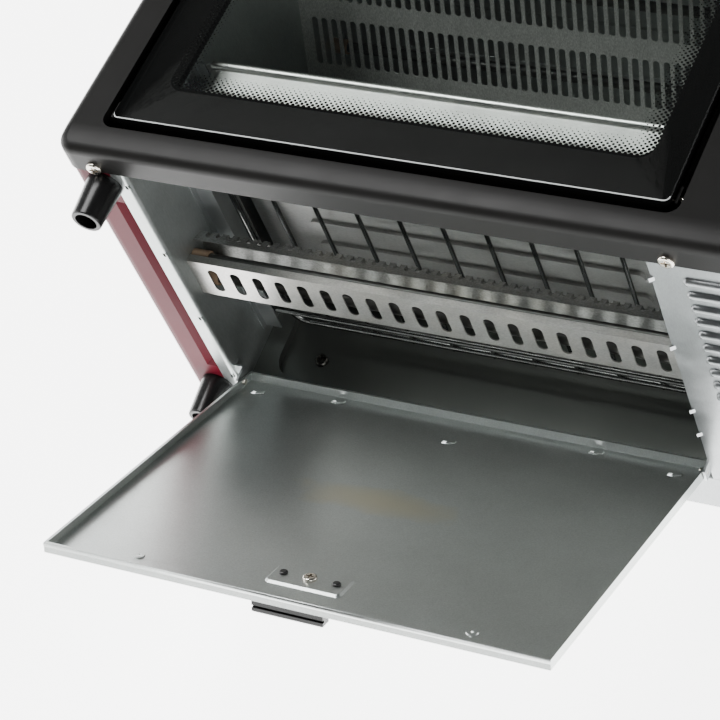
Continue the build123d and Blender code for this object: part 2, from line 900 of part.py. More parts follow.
def upper_guard():
    """Sloping slotted sheet below the upper rods."""
    sheet = sloped_sheet(upper_guard_front, upper_guard_rear, inner_sheet)
    run = upper_guard_rear[0] - upper_guard_front[0]
    fall = upper_guard_front[1] - upper_guard_rear[1]
    slope = math.degrees(math.atan2(fall, run))
    lip = block(
        (opening_left, opening_right),
        (up(upper_guard_rear[1]), up(upper_guard_rear[1] + upper_guard_lip)),
        (back(upper_guard_rear[0]), back(upper_guard_rear[0]) + inner_sheet),
    )
    sheet = sheet + lip
    cutters = []
    count = int(opening_width / upper_slot_pitch) - 2
    for row_back in upper_slot_rows:
        share = (row_back - upper_guard_front[0]) / run
        y = up(upper_guard_front[1] - share * fall)
        for index in range(count):
            x = opening_left + (index + 1.5) * upper_slot_pitch
            cutter = Pos(x, y, back(row_back)) * Rot(90 - slope, 0, 0)
            cutters.append(cutter * slot_prism(upper_slot_length, upper_slot_width, sheet_cutter))
    return sheet - Compound(children=cutters)


def thermostat_bulb():
    """Sensing bulb on the cavity's right side, with its fine tube into the control bay."""
    x = opening_right - bulb_inset
    y = up(bulb_up)
    ends = [(x, y, back(distance)) for distance in bulb_backs]
    turn = (x, y, back(bulb_back))
    bulb = rod(ends[0], ends[1], bulb_radius)
    tail = rod(ends[1], turn, bulb_tail_radius)
    through = rod(turn, (opening_right + bulb_outside, y, back(bulb_back)), bulb_tail_radius)
    elbow = Pos(*turn) * Sphere(bulb_tail_radius)
    return fused([bulb, tail, elbow, through])


# Shelves


def shelf_rails():
    """Side rails: a lower ledge for the rack and an upper ledge for the tray."""
    pieces = []
    rack_ledge = rack_up - rack_frame_radius - 2 * rack_bar_radius - inner_sheet
    tray_ledge = tray_up + tray_depth - inner_sheet
    ends = (back(rail_ends[1]), back(rail_ends[0]))
    for x, side in ((opening_left, 1), (opening_right, -1)):
        plate = block(sorted((x, x + side * inner_sheet)), (up(rail_up[0]), up(rail_up[1])), ends)
        for height, reach in ((rack_ledge, rack_ledge_reach), (tray_ledge, tray_ledge_reach)):
            ledge_x = sorted((x, x + side * reach))
            plate = plate + block(ledge_x, (up(height), up(height) + inner_sheet), ends)
        pieces.append(plate)
    return together(pieces)


def wire_rack():
    """Wire grid in a rounded frame, with two bars that rest on the rails."""
    y = up(rack_up)
    half = (rack_wires + 1) / 2 * rack_pitch
    middle = (opening_left + opening_right) / 2
    z = (back(rack_backs[1]), back(rack_backs[0]))
    outline = Pos(middle, sum(z) / 2) * RectangleRounded(2 * half, z[1] - z[0], rack_corner)
    path = Plane(origin=(0, y, 0), x_dir=(1, 0, 0), z_dir=(0, -1, 0)) * outline.wire()
    start = path.edges().sort_by(Axis.Z)[-1]
    section = Plane(origin=start @ 0.5, z_dir=start % 0.5) * Circle(rack_frame_radius)
    grid = sweep(section, path=path, transition=Transition.RIGHT)
    pieces = [grid]
    for index in range(rack_wires):
        x = middle + (index - (rack_wires - 1) / 2) * rack_pitch
        wire_z = (z[0] - rack_wire_overhang, z[1] + rack_wire_overhang)
        pieces.append(rod((x, y, wire_z[0]), (x, y, wire_z[1]), rack_wire_radius))
    bar_y = y - rack_frame_radius - rack_bar_radius + rack_bar_weld
    for distance in rack_bar_backs:
        left_end = (opening_left + rack_bar_gap, bar_y, back(distance))
        right_end = (opening_right - rack_bar_gap, bar_y, back(distance))
        pieces.append(rod(left_end, right_end, rack_bar_radius))
    return fused(pieces)


def baking_tray():
    """Shallow pan with a flat rim on the rails, a rolled front and cross ribs in its floor."""
    x = [across(value) for value in tray_across]
    z = (back(tray_backs[1]), back(tray_backs[0]))
    low = up(tray_up)
    high = low + tray_depth
    turn = Plane(origin=(0, 0, 0), x_dir=(1, 0, 0), z_dir=(0, 1, 0))
    flat = [(x[0], x[1]), (-z[1], -z[0])]
    step = tray_sheet
    body = turn * rounded_block(flat[0], flat[1], (low, high), tray_corner)
    inner_x = (x[0] + step, x[1] - step)
    inner_y = (step - z[1], -z[0] - step)
    hollow = turn * rounded_block(inner_x, inner_y, (low + step, high + margin), tray_corner - step)
    rim_x = (x[0] - tray_rim, x[1] + tray_rim)
    rim = turn * rounded_block(rim_x, flat[1], (high, high + step), tray_corner)
    roll_y = high - tray_roll_drop
    roll_z = z[1] + tray_roll_before
    roll_x = (x[0] + tray_roll_inset, x[1] - tray_roll_inset)
    roll = rod((roll_x[0], roll_y, roll_z), (roll_x[1], roll_y, roll_z), tray_roll_radius)
    tray = body + rim - hollow + roll
    for distance in tray_rib_backs:
        tray = tray + tray_rib(distance, 0.0) - tray_rib(distance, step)
    return tray


def tray_rib(distance, inset):
    """Round-ended rib pressed down out of the tray's floor."""
    length = tray_rib_length - 2 * inset
    width = tray_rib_width - 2 * inset
    level = up(tray_up) - tray_rib_drop + inset
    outline = Pos(across(tray_rib_middle), -back(distance)) * SlotOverall(length, width)
    turn = Plane(origin=(0, level, 0), x_dir=(1, 0, 0), z_dir=(0, 1, 0))
    return turn * extrude(outline, tray_rib_drop + inset + tiny)


# Controls


def control_unit(name):
    """Switch body behind the panel with a round bush through it."""
    x = fascia_middle()
    height = knob_ups[name]
    width, tall = unit_sizes[name]
    deep = unit_depths[name]
    rear = face_w - frame_sheet - deep
    y_limits = (height - tall / 2, height + tall / 2)
    body = block((x - width / 2, x + width / 2), y_limits, (rear, rear + deep))
    body = fillet(body.edges().filter_by(Axis.Z), unit_rounding)
    nose = Pos(x, height, face_w - frame_sheet) * extrude(Circle(bush_radius), frame_sheet + fascia_proud)
    bore = Pos(x, height, rear - margin) * extrude(Circle(shaft_radius + running_gap), deep + hole_cutter)
    return front * (body + nose - bore)


def shaft(name):
    """Control shaft with a flat near its end."""
    x = fascia_middle()
    height = knob_ups[name]
    rear = face_w - frame_sheet - unit_depths[name] + margin
    knob_base = face_w + fascia_proud + knob_lift
    top = knob_base + knob_height - shaft_end_gap
    bar = Pos(x, height, rear) * extrude(Circle(shaft_radius), top - rear)
    flat_x = (x - bush_radius, x + bush_radius)
    flat_y = (height + shaft_flat, height + bush_radius)
    return front * (bar - block(flat_x, flat_y, (knob_base + shaft_grip_start, top + margin)))


def knob(name):
    """Round knob with a skirt, a tapered grip and a raised pointer."""
    x = fascia_middle()
    base = face_w + fascia_proud + knob_lift
    skirt = extrude(Circle(knob_radius), skirt_height)
    skirt = fillet(skirt.edges().sort_by(Axis.Z)[-1], skirt_rounding)
    start = skirt_height - grip_sunk
    grip = extrude(Circle(knob_radius - grip_inset), knob_height - start, taper=grip_taper)
    grip = Pos(0, 0, start) * fillet(grip.edges().sort_by(Axis.Z)[-1], grip_rounding)
    reach = knob_radius - pointer_inset
    pointer = block((-pointer_half, pointer_half), (-reach, reach), (start, knob_height + pointer_proud))
    pointer = fillet(pointer.edges().filter_by(Axis.Z), pointer_rounding)
    body = skirt + grip + pointer
    bore = Pos(0, 0, -margin) * extrude(Circle(shaft_radius), knob_height - shaft_end_gap + margin)
    key_x = (-bush_radius, bush_radius)
    key = block(key_x, (shaft_flat, bush_radius), (shaft_grip_start, knob_height))
    body = body - (bore - key)
    return front * Pos(x, knob_ups[name], base) * body


def pilot_lamp():
    """Domed lamp lens in the panel."""
    length = fascia_proud + lamp_behind
    body = extrude(Circle(lamp_radius), length)
    dome = Pos(0, 0, length) * extrude(Circle(lamp_radius + lamp_brim), lamp_dome)
    lens = fillet((body + dome).edges().sort_by(Axis.Z)[-1], lamp_rounding)
    return front * Pos(fascia_middle(), lamp_up, face_w - lamp_behind) * lens


def terminal_block():
    """Block where the cord's wires would end, with three clamp screws."""
    x, y = cord_place
    top = inner_sheet + terminal_depth
    y_limits = (y + terminal_up[0], y + terminal_up[1])
    body = block((x - terminal_half, x + terminal_half), y_limits, (inner_sheet, top))
    for step in (-1, 0, 1):
        place = Pos(x + step * terminal_pitch, sum(y_limits) / 2, top)
        body = body - place * Cylinder(terminal_screw_radius, 2 * terminal_well)
        body = body - place * Pos(0, 0, -terminal_well) * Box(*terminal_slot)
    return body


# Glass door, built on the leaning front


def door_glass():
    """Flat toughened pane with holes for the handle."""
    x = [across(value) for value in glass_across]
    pane = rounded_block(x, glass_up, (glass_back, glass_front), glass_corner)
    pane = chamfer(pane.faces().sort_by(Axis.Z)[-1].edges(), glass_bevel)
    for post_x in post_places():
        pane = pane - Pos(post_x, handle_up, glass_back) * Cylinder(handle_screw_hole, hole_cutter)
    return front * pane


def post_places():
    """X of the two handle posts."""
    middle = across(sum(glass_across) / 2)
    return (middle - handle_posts_apart / 2, middle + handle_posts_apart / 2)


def door_frame():
    """Sheet ring behind the glass, open at the window."""
    x = [across(glass_across[0] + door_frame_inset), across(glass_across[1] - door_frame_inset)]
    y = (glass_up[0] + door_frame_drop, glass_up[1] - door_frame_drop)
    ring = rounded_block(x, y, (door_back, glass_back), door_frame_radius)
    step = frame_sheet
    inside_x = (x[0] + step, x[1] - step)
    inside_y = (y[0] + step, y[1] - step)
    inside_w = (door_back - margin, glass_back - step)
    ring = ring - rounded_block(inside_x, inside_y, inside_w, door_frame_radius - step / 2)
    window_x = [across(value) for value in window_across]
    window = rounded_block(window_x, window_up, (door_back, glass_front), window_corner)
    rim_x = (window_x[0] - step, window_x[1] + step)
    rim_y = (window_up[0] - step, window_up[1] + step)
    rim = rounded_block(rim_x, rim_y, (door_back + door_rim_recess, glass_back), window_corner + step)
    ring = ring + rim - window
    for edge in x:
        ring = ring - door_pin_bore(edge, sheet_cutter)
    for post_x in post_places():
        ring = ring - Pos(post_x, handle_up, glass_back) * Cylinder(handle_screw_hole, hole_cutter)
    return front * ring


def door_pin_bore(x, length):
    """Cutter for a hole that one of the door's pins turns in, centred on x."""
    w = face_w - door_pivot_below_face
    ends = (x - length / 2, x + length / 2)
    bore = door_pin_radius + running_gap
    return rod((ends[0], door_pivot_up, w), (ends[1], door_pivot_up, w), bore)


def door_pivot_pins():
    """Headed pins through the door's sides, one at each lower corner."""
    w = face_w - door_pivot_below_face
    pins = []
    for edge, side, seat in (
        (across(glass_across[0] + door_frame_inset), -1, across(seat_across[0])),
        (across(glass_across[1] - door_frame_inset), 1, across(seat_across[1])),
    ):
        tip = (seat - side * door_pin_end_gap, door_pivot_up, w)
        inside = (edge - side * (frame_sheet + running_gap), door_pivot_up, w)
        head_end = (inside[0] - side * door_pin_head, door_pivot_up, w)
        head = rod(inside, head_end, door_pin_radius + door_pin_brim)
        pins.append(head + rod(inside, tip, door_pin_radius))
    return front * together(pins)


def door_hinge_plates():
    """Plates in the door seat that carry the door's pins."""
    w = face_w - door_pivot_below_face
    plates = []
    for seat, side in ((across(seat_across[0]), -1), (across(seat_across[1]), 1)):
        inner = seat - side * hinge_plate_inset
        x = sorted((inner, inner + side * hinge_plate))
        y = (door_pivot_up - hinge_plate_half, door_pivot_up + hinge_plate_half)
        foot = sorted((inner, seat - side * sheet_gap))
        ear = block(x, y, (seat_floor, w + hinge_plate_rise))
        base = block(foot, y, (seat_floor, seat_floor + hinge_plate))
        plates.append(ear + base - door_pin_bore(seat, hole_cutter))
    return front * together(plates)


def door_handle():
    """Rounded bar across the top of the door."""
    middle = across(sum(glass_across) / 2)
    w = glass_front + handle_reach
    half = handle_length / 2
    y = (handle_up - handle_half[0], handle_up + handle_half[0])
    bar = block((middle - half, middle + half), y, (w - handle_half[1], w + handle_half[1]))
    bar = fillet(bar.edges().filter_by(Axis.X), handle_rounding)
    bar = fillet(bar.faces().sort_by(Axis.X)[0].edges(), handle_end_rounding)
    bar = fillet(bar.faces().sort_by(Axis.X)[-1].edges(), handle_end_rounding)
    for post_x in post_places():
        bar = bar - Pos(post_x, handle_up, w - handle_half[1]) * Cylinder(post_bore, handle_socket)
    return front * bar


def handle_posts():
    """Spacer tubes between the glass and the handle."""
    length = handle_reach - handle_half[1]
    post = extrude(Circle(post_radius), length, taper=post_taper) - Cylinder(post_bore, 3 * length)
    return front * together([Pos(post_x, handle_up, glass_front) * post for post_x in post_places()])


def handle_screws():
    """Screws through the door frame, glass and posts into the handle."""
    seat = glass_back - frame_sheet
    length = glass_front + handle_reach - handle_screw_end - seat
    one = Rot(180, 0, 0) * screw(*handle_screw_head, length)
    return front * together([Pos(post_x, handle_up, seat) * one for post_x in post_places()])


# Crumb door, built closed and then swung open about its pins


def crumb_axis():
    """Centre of the crumb door's hinge axis as (y, z)."""
    return (bottom_y - crumb_axis_drop, back(crumb_axis_back))


def opened(piece):
    """Swings a piece from the closed crumb door to its open rest."""
    y, z = crumb_axis()
    return Pos(0, y, z) * Rot(crumb_open_angle, 0, 0) * Pos(0, -y, -z) * piece


def crumb_limits():
    """X, Y and Z limits of the closed crumb door."""
    x = (across(crumb_across[0]), across(crumb_across[1]))
    rim_top = bottom_y - crumb_drop
    rear = crumb_axis()[1] - crumb_behind_axis
    return x, (rim_top - crumb_rim, rim_top), (rear, rear + crumb_length)


def crumb_door_tray():
    """Shallow pan with hemmed rims, a raised pad for its catch and pressed tabs."""
    x, y, z = crumb_limits()
    body = block(x, y, z)
    inner = block(
        (x[0] + inner_sheet, x[1] - inner_sheet),
        (y[0] + inner_sheet, y[1] + margin),
        (z[0] + inner_sheet, z[1] - inner_sheet),
    )
    pan = body - inner
    hem_x = (x[0] + crumb_hem, x[1] - crumb_hem)
    hem_z = (z[0] + crumb_hem, z[1] - crumb_hem)
    hem = block(x, (y[1] - crumb_hem_height, y[1]), z) - block(hem_x, (y[0], y[1] + margin), hem_z)
    pan = pan + hem + crumb_pad(0.0) - crumb_pad(inner_sheet)
    middle = (x[0] + x[1]) / 2
    floor = y[0] + inner_sheet
    pressed = []
    for offset, distance in crumb_tabs:
        place = Pos(middle + offset, floor, z[0] + distance)
        tab = Pos(0, crumb_tab_lift, 0) * Rot(0, 0, crumb_tab_tilt) * Box(*crumb_tab_size)
        pressed.append(place * tab)
        hole = Box(crumb_tab_hole, sheet_cutter, crumb_tab_hole)
        pan = pan - place * Pos(crumb_tab_hole_offset, 0, 0) * hole
    bumps = [Pos(middle + offset, floor, z[1] - crumb_bump_back) * Rot(-90, 0, 0) for offset in crumb_bumps]
    bump = extrude(Circle(crumb_bump_radius), crumb_bump_rise, taper=crumb_bump_taper)
    pan = fused([pan] + pressed + [place * bump for place in bumps])
    for place in bumps:
        pan = pan - place * Cylinder(crumb_bump_hole, sheet_cutter)
    for offset in (-catch_pins, catch_pins):
        hole = Cylinder(catch_pin_radius + fit_gap, hole_cutter / 2)
        pan = pan - Pos(catch_x() + offset, floor, catch_z()) * Rot(90, 0, 0) * hole
    pan = pan - Pos(catch_x(), floor, catch_z()) * Rot(90, 0, 0) * Cylinder(screw_hole, hole_cutter / 2)
    axis_y, axis_z = crumb_axis()
    for edge in x:
        ends = (edge - sheet_cutter, edge + sheet_cutter)
        pan = pan - rod((ends[0], axis_y, axis_z), (ends[1], axis_y, axis_z), crumb_pin_radius)
    return opened(pan)


def catch_x():
    """X of the catch's middle."""
    return across(sum(crumb_across) / 2) + catch_offset


def catch_z():
    """Z of the catch's screw on the closed door."""
    return crumb_limits()[2][1] - catch_screw_back


def crumb_pad(inset):
    """Raised, bevelled pad where the catch is fixed."""
    below = inset / 2
    top_up = inner_sheet + pad_rise - inset
    outline = RectangleRounded(pad_size[0] - 2 * inset, pad_size[1] - 2 * inset, pad_corner)
    pad = extrude(outline, top_up + below, taper=45)
    return Pos(catch_x(), crumb_limits()[1][0] - below, catch_z()) * Rot(-90, 0, 0) * pad


def crumb_catch():
    """Moulded finger catch under the front of the crumb door."""
    y, z = crumb_limits()[1:]
    low = y[0]
    x = catch_x()
    half = catch_width / 2
    rear = catch_z() - catch_behind_screw
    nose = z[1] - catch_nose_back
    plate = block((x - half, x + half), (low - catch_plate, low), (rear, nose))
    plate = fillet(plate.edges().filter_by(Axis.Y).sort_by(Axis.Z)[:2], catch_rounding)
    lip_y = (low - catch_lip, low - catch_plate)
    lip = block((x - half, x + half), lip_y, (nose - catch_lip_depth, nose))
    lip = chamfer(lip.faces().sort_by(Axis.Y)[0].edges(), catch_bevel)
    groove_y = [low - drop for drop in catch_groove]
    groove_z = (nose - catch_groove_depth, nose + margin)
    body = plate + lip - block((x - catch_width, x + catch_width), groove_y, groove_z)
    for offset in (-catch_pins, catch_pins):
        place = Pos(x + offset, low - margin, catch_z()) * Rot(-90, 0, 0)
        pin = place * extrude(Circle(catch_pin_radius), catch_pin_length)
        body = body + fillet(pin.edges().sort_by(Axis.Y)[-1], catch_pin_rounding)
    hole = Cylinder(screw_hole - running_gap, 2 * catch_plate)
    body = body - Pos(x, low, catch_z()) * Rot(90, 0, 0) * hole
    return opened(body)


def crumb_catch_screw():
    """Cross-head screw that holds the catch to the pad."""
    seat = crumb_limits()[1][0] + inner_sheet + pad_rise
    return opened(Pos(catch_x(), seat, catch_z()) * Rot(-90, 0, 0) * screw(*catch_screw))


def crumb_pivot_pins():
    """Pins riveted in the crumb door's sides."""
    x = crumb_limits()[0]
    axis_y, axis_z = crumb_axis()
    pins = []
    for edge, side, reach in ((x[0], -1, pin_reach[0]), (x[1], 1, pin_reach[1])):
        inside = (edge - side * crumb_hem, axis_y, axis_z)
        head_end = (inside[0] - side * pin_head[1], axis_y, axis_z)
        head = rod(inside, head_end, crumb_pin_radius + pin_head[0])
        pins.append(head + rod(inside, (edge + side * reach, axis_y, axis_z), crumb_pin_radius))
    return opened(together(pins))


def crumb_hinge_brackets():
    """Ears on the cavity sides that carry the crumb door's pins."""
    x = crumb_limits()[0]
    axis_y, axis_z = crumb_axis()
    low = axis_y - ear_drop
    depth = (axis_z - ear_half, axis_z + ear_half)
    web_y = (up(ear_web_up[0]), up(ear_web_up[1]))
    ear_x = x[0] - ear_gap
    left_ear = block((ear_x - ear_sheet, ear_x), (low, web_y[1]), depth)
    web = block((opening_left, ear_x), web_y, depth)
    plate = block((opening_left, opening_left + ear_plate), (web_y[0], up(ear_top)), depth)
    left = left_ear + web + plate
    right = block((x[1] + ear_gap, opening_right), (low, up(ear_top)), depth)
    ends = (opening_left, opening_right + margin)
    bore = crumb_pin_radius + running_gap
    hole = rod((ends[0], axis_y, axis_z), (ends[1], axis_y, axis_z), bore)
    return together([left - hole, right - hole])


# Feet and screws


def foot_places():
    """Centres of the four feet on the base plane."""
    x = across(foot_across)
    return [(side * -x, bottom_y, back(distance)) for distance in foot_backs for side in (-1, 1)]


def feet():
    """Tapered rubber feet with a deep hollow."""
    base = extrude(Circle(foot_base_radius), foot_flange)
    cone = Solid.make_cone(foot_base_radius, foot_tip_radius, foot_length - foot_flange)
    body = base + Pos(0, 0, foot_flange) * cone
    body = fillet(body.edges().sort_by(Axis.Z)[-1], foot_rounding)
    floor = foot_length - foot_hollow_depth
    hollow = Pos(0, 0, floor) * extrude(Circle(foot_hollow_radius), foot_length)
    body = body - hollow - Cylinder(foot_screw_hole, 2 * foot_length)
    return together([Pos(*place) * Rot(90, 0, 0) * body for place in foot_places()])


def foot_screws():
    """Screws inside the feet."""
    one = Rot(90, 0, 0) * screw(*foot_screw)
    seat = foot_length - foot_hollow_depth
    return together([Pos(x, y - seat, z) * one for x, y, z in foot_places()])


def lip_screw_places():
    """Centres of the screws in the front frame's lower lip."""
    return [(across(distance), lip_y, back(-lip_screw_before)) for distance in lip_screw_across]


def frame_screws():
    """Nickel screws in the front frame's lower lip."""
    one = Rot(90, 0, 0) * screw(*lip_screw)
    return together([Pos(*place) * one for place in lip_screw_places()])


def cover_screw_places():
    """Centres and turns of the screws that join the cover to the back panel."""
    places = []
    for side in (-1, 1):
        for y in cover_screw_ys:
            places.append(((side * half_width, y, cover_screw_z), Rot(0, side * 90, 0)))
    for x in cover_screw_xs:
        places.append(((x, top_y, cover_screw_z), Rot(-90, 0, 0)))
    return places


def cover_screws():
    """Small screws round the cover's rear edge."""
    one = screw(*cover_screw)
    return together([Pos(*place) * turn * one for place, turn in cover_screw_places()])


nodes = {
    "outer_cover": outer_cover,
    "front_frame": front_frame,
    "control_fascia": control_fascia,
    "back_panel": back_panel,
    "cord_grommet": cord_grommet,
    "rear_base_strip": rear_base_strip,
    "left_cavity_wall": left_cavity_wall,
    "right_cavity_wall": right_cavity_wall,
    "cavity_ceiling": cavity_ceiling,
    "cavity_rear_wall": cavity_rear_wall,
    "rear_spacers": rear_spacers,
    "rear_wall_screws": rear_wall_screws,
    "louvred_base_panel": louvred_base_panel,
    "heat_shield": heat_shield,
    "lower_heating_rods": lambda: heating_rods(lower_rod_up, lower_rod_backs),
    "upper_heating_rods": lambda: heating_rods(upper_rod_up, upper_rod_backs),
    "element_insulators": element_insulators,
    "lower_guard": lower_guard,
    "lower_guard_roof": lower_guard_roof,
    "upper_guard": upper_guard,
    "thermostat_bulb": thermostat_bulb,
    "shelf_rails": shelf_rails,
    "wire_rack": wire_rack,
    "baking_tray": baking_tray,
    "thermostat_unit": lambda: control_unit("thermostat"),
    "selector_unit": lambda: control_unit("selector"),
    "timer_unit": lambda: control_unit("timer"),
    "pilot_lamp": pilot_lamp,
    "terminal_block": terminal_block,
    "feet": feet,
    "foot_screws": foot_screws,
    "frame_screws": frame_screws,
    "cover_screws": cover_screws,
    "door_hinge_plates": door_hinge_plates,
    "crumb_hinge_brackets": crumb_hinge_brackets,
    "door_glass": door_glass,
    "door_frame": door_frame,
    "door_pivot_pins": door_pivot_pins,
    "door_handle": door_handle,
    "handle_posts": handle_posts,
    "handle_screws": handle_screws,
    "crumb_door_tray": crumb_door_tray,
    "crumb_catch": crumb_catch,
    "crumb_catch_screw": crumb_catch_screw,
    "crumb_pivot_pins": crumb_pivot_pins,
    "thermostat_knob": lambda: knob("thermostat"),
    "selector_knob": lambda: knob("selector"),
    "timer_knob": lambda: knob("timer"),
    "thermostat_shaft": lambda: shaft("thermostat"),
    "selector_shaft": lambda: shaft("selector"),
    "timer_shaft": lambda: shaft("timer"),
}

for name, make in nodes.items():
    export_step(make(), "parts/" + name + ".step")
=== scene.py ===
import json
import logging
import math
from dataclasses import dataclass, field
from enum import Enum
from typing import Iterable, Sequence, Tuple

import bmesh
import bpy
from mathutils import Matrix, Vector


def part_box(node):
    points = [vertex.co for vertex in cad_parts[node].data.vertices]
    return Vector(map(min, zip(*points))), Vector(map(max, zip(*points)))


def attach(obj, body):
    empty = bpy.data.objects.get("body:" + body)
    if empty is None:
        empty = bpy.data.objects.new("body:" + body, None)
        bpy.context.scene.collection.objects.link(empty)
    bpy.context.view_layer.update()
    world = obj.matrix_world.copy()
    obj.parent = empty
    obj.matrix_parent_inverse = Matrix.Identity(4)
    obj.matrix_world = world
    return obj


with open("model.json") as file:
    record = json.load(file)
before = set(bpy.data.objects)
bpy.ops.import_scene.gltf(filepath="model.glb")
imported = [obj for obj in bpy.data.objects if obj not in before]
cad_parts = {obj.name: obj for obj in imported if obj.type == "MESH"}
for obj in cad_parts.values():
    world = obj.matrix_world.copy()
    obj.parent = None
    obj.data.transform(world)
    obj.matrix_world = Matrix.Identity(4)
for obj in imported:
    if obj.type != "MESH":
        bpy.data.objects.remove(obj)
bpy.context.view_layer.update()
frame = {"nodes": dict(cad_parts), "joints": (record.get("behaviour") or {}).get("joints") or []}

log = logging.getLogger("mini_oven")

Point = Tuple[float, float, float]
Colour = Tuple[float, float, float]
MM = 0.001


class Body(Enum):
    """Moving bodies of the oven, by their names in the frame."""

    CASING = "casing"
    GLASS_DOOR = "glass_door"
    CRUMB_DOOR = "crumb_door"
    THERMOSTAT = "thermostat_control"
    SELECTOR = "selector_control"
    TIMER = "timer_control"


class Dial(Enum):
    """Controls on the front panel, by the start of their node names."""

    THERMOSTAT = "thermostat"
    SELECTOR = "selector"
    TIMER = "timer"


# Lines and angles read from the frame, which every class below works in.


def node_box(name: str) -> Tuple[Vector, Vector]:
    """Lowest and highest corner of a sub-part at rest, in metres."""
    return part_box(name)


def joint(name: str) -> dict:
    """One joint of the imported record."""
    return next(item for item in frame["joints"] if item["name"] == name)


def crumb_directions() -> Tuple[Vector, Vector]:
    """Directions of the open crumb door: from its hinge to its front rim, and up its rims."""
    angle = math.radians(joint("crumb_door_hinge")["range_deg"][0])
    return Vector((0.0, math.sin(angle), math.cos(angle))), Vector((0.0, math.cos(angle), -math.sin(angle)))


@dataclass(frozen=True)
class LeaningFront:
    """Coordinates on the oven's leaning front: across, up the front, and out of it."""

    out: Vector
    origin: Vector

    @classmethod
    def from_joint(cls) -> "LeaningFront":
        """Takes the lean from a control's axis, which stands square to the front."""
        turn = joint("selector_turn")
        return cls(out=-Vector(turn["axis"]).normalized(), origin=Vector((0.0, *turn["pos_m"][1:])))

    @property
    def up(self) -> Vector:
        """Direction up the front, square to its outward direction."""
        return self.out.cross(Vector((1.0, 0.0, 0.0)))

    def place(self, across: float, up: float, out: float) -> Vector:
        """Point of the row frame for a place on the front."""
        return self.origin + Vector((across, 0.0, 0.0)) + self.up * up + self.out * out

    def matrix(self, across: float, up: float, out: float) -> Matrix:
        """Placement whose X runs across, Y up the front and Z out of it."""
        turn = Matrix((Vector((1.0, 0.0, 0.0)), self.up, self.out)).transposed().to_4x4()
        return Matrix.Translation(self.place(across, up, out)) @ turn

    def local(self, point: Vector) -> Vector:
        """Across, up and out of a point of the row frame."""
        step = point - self.origin
        return Vector((step.x, step.dot(self.up), step.dot(self.out)))


FRONT = LeaningFront.from_joint()


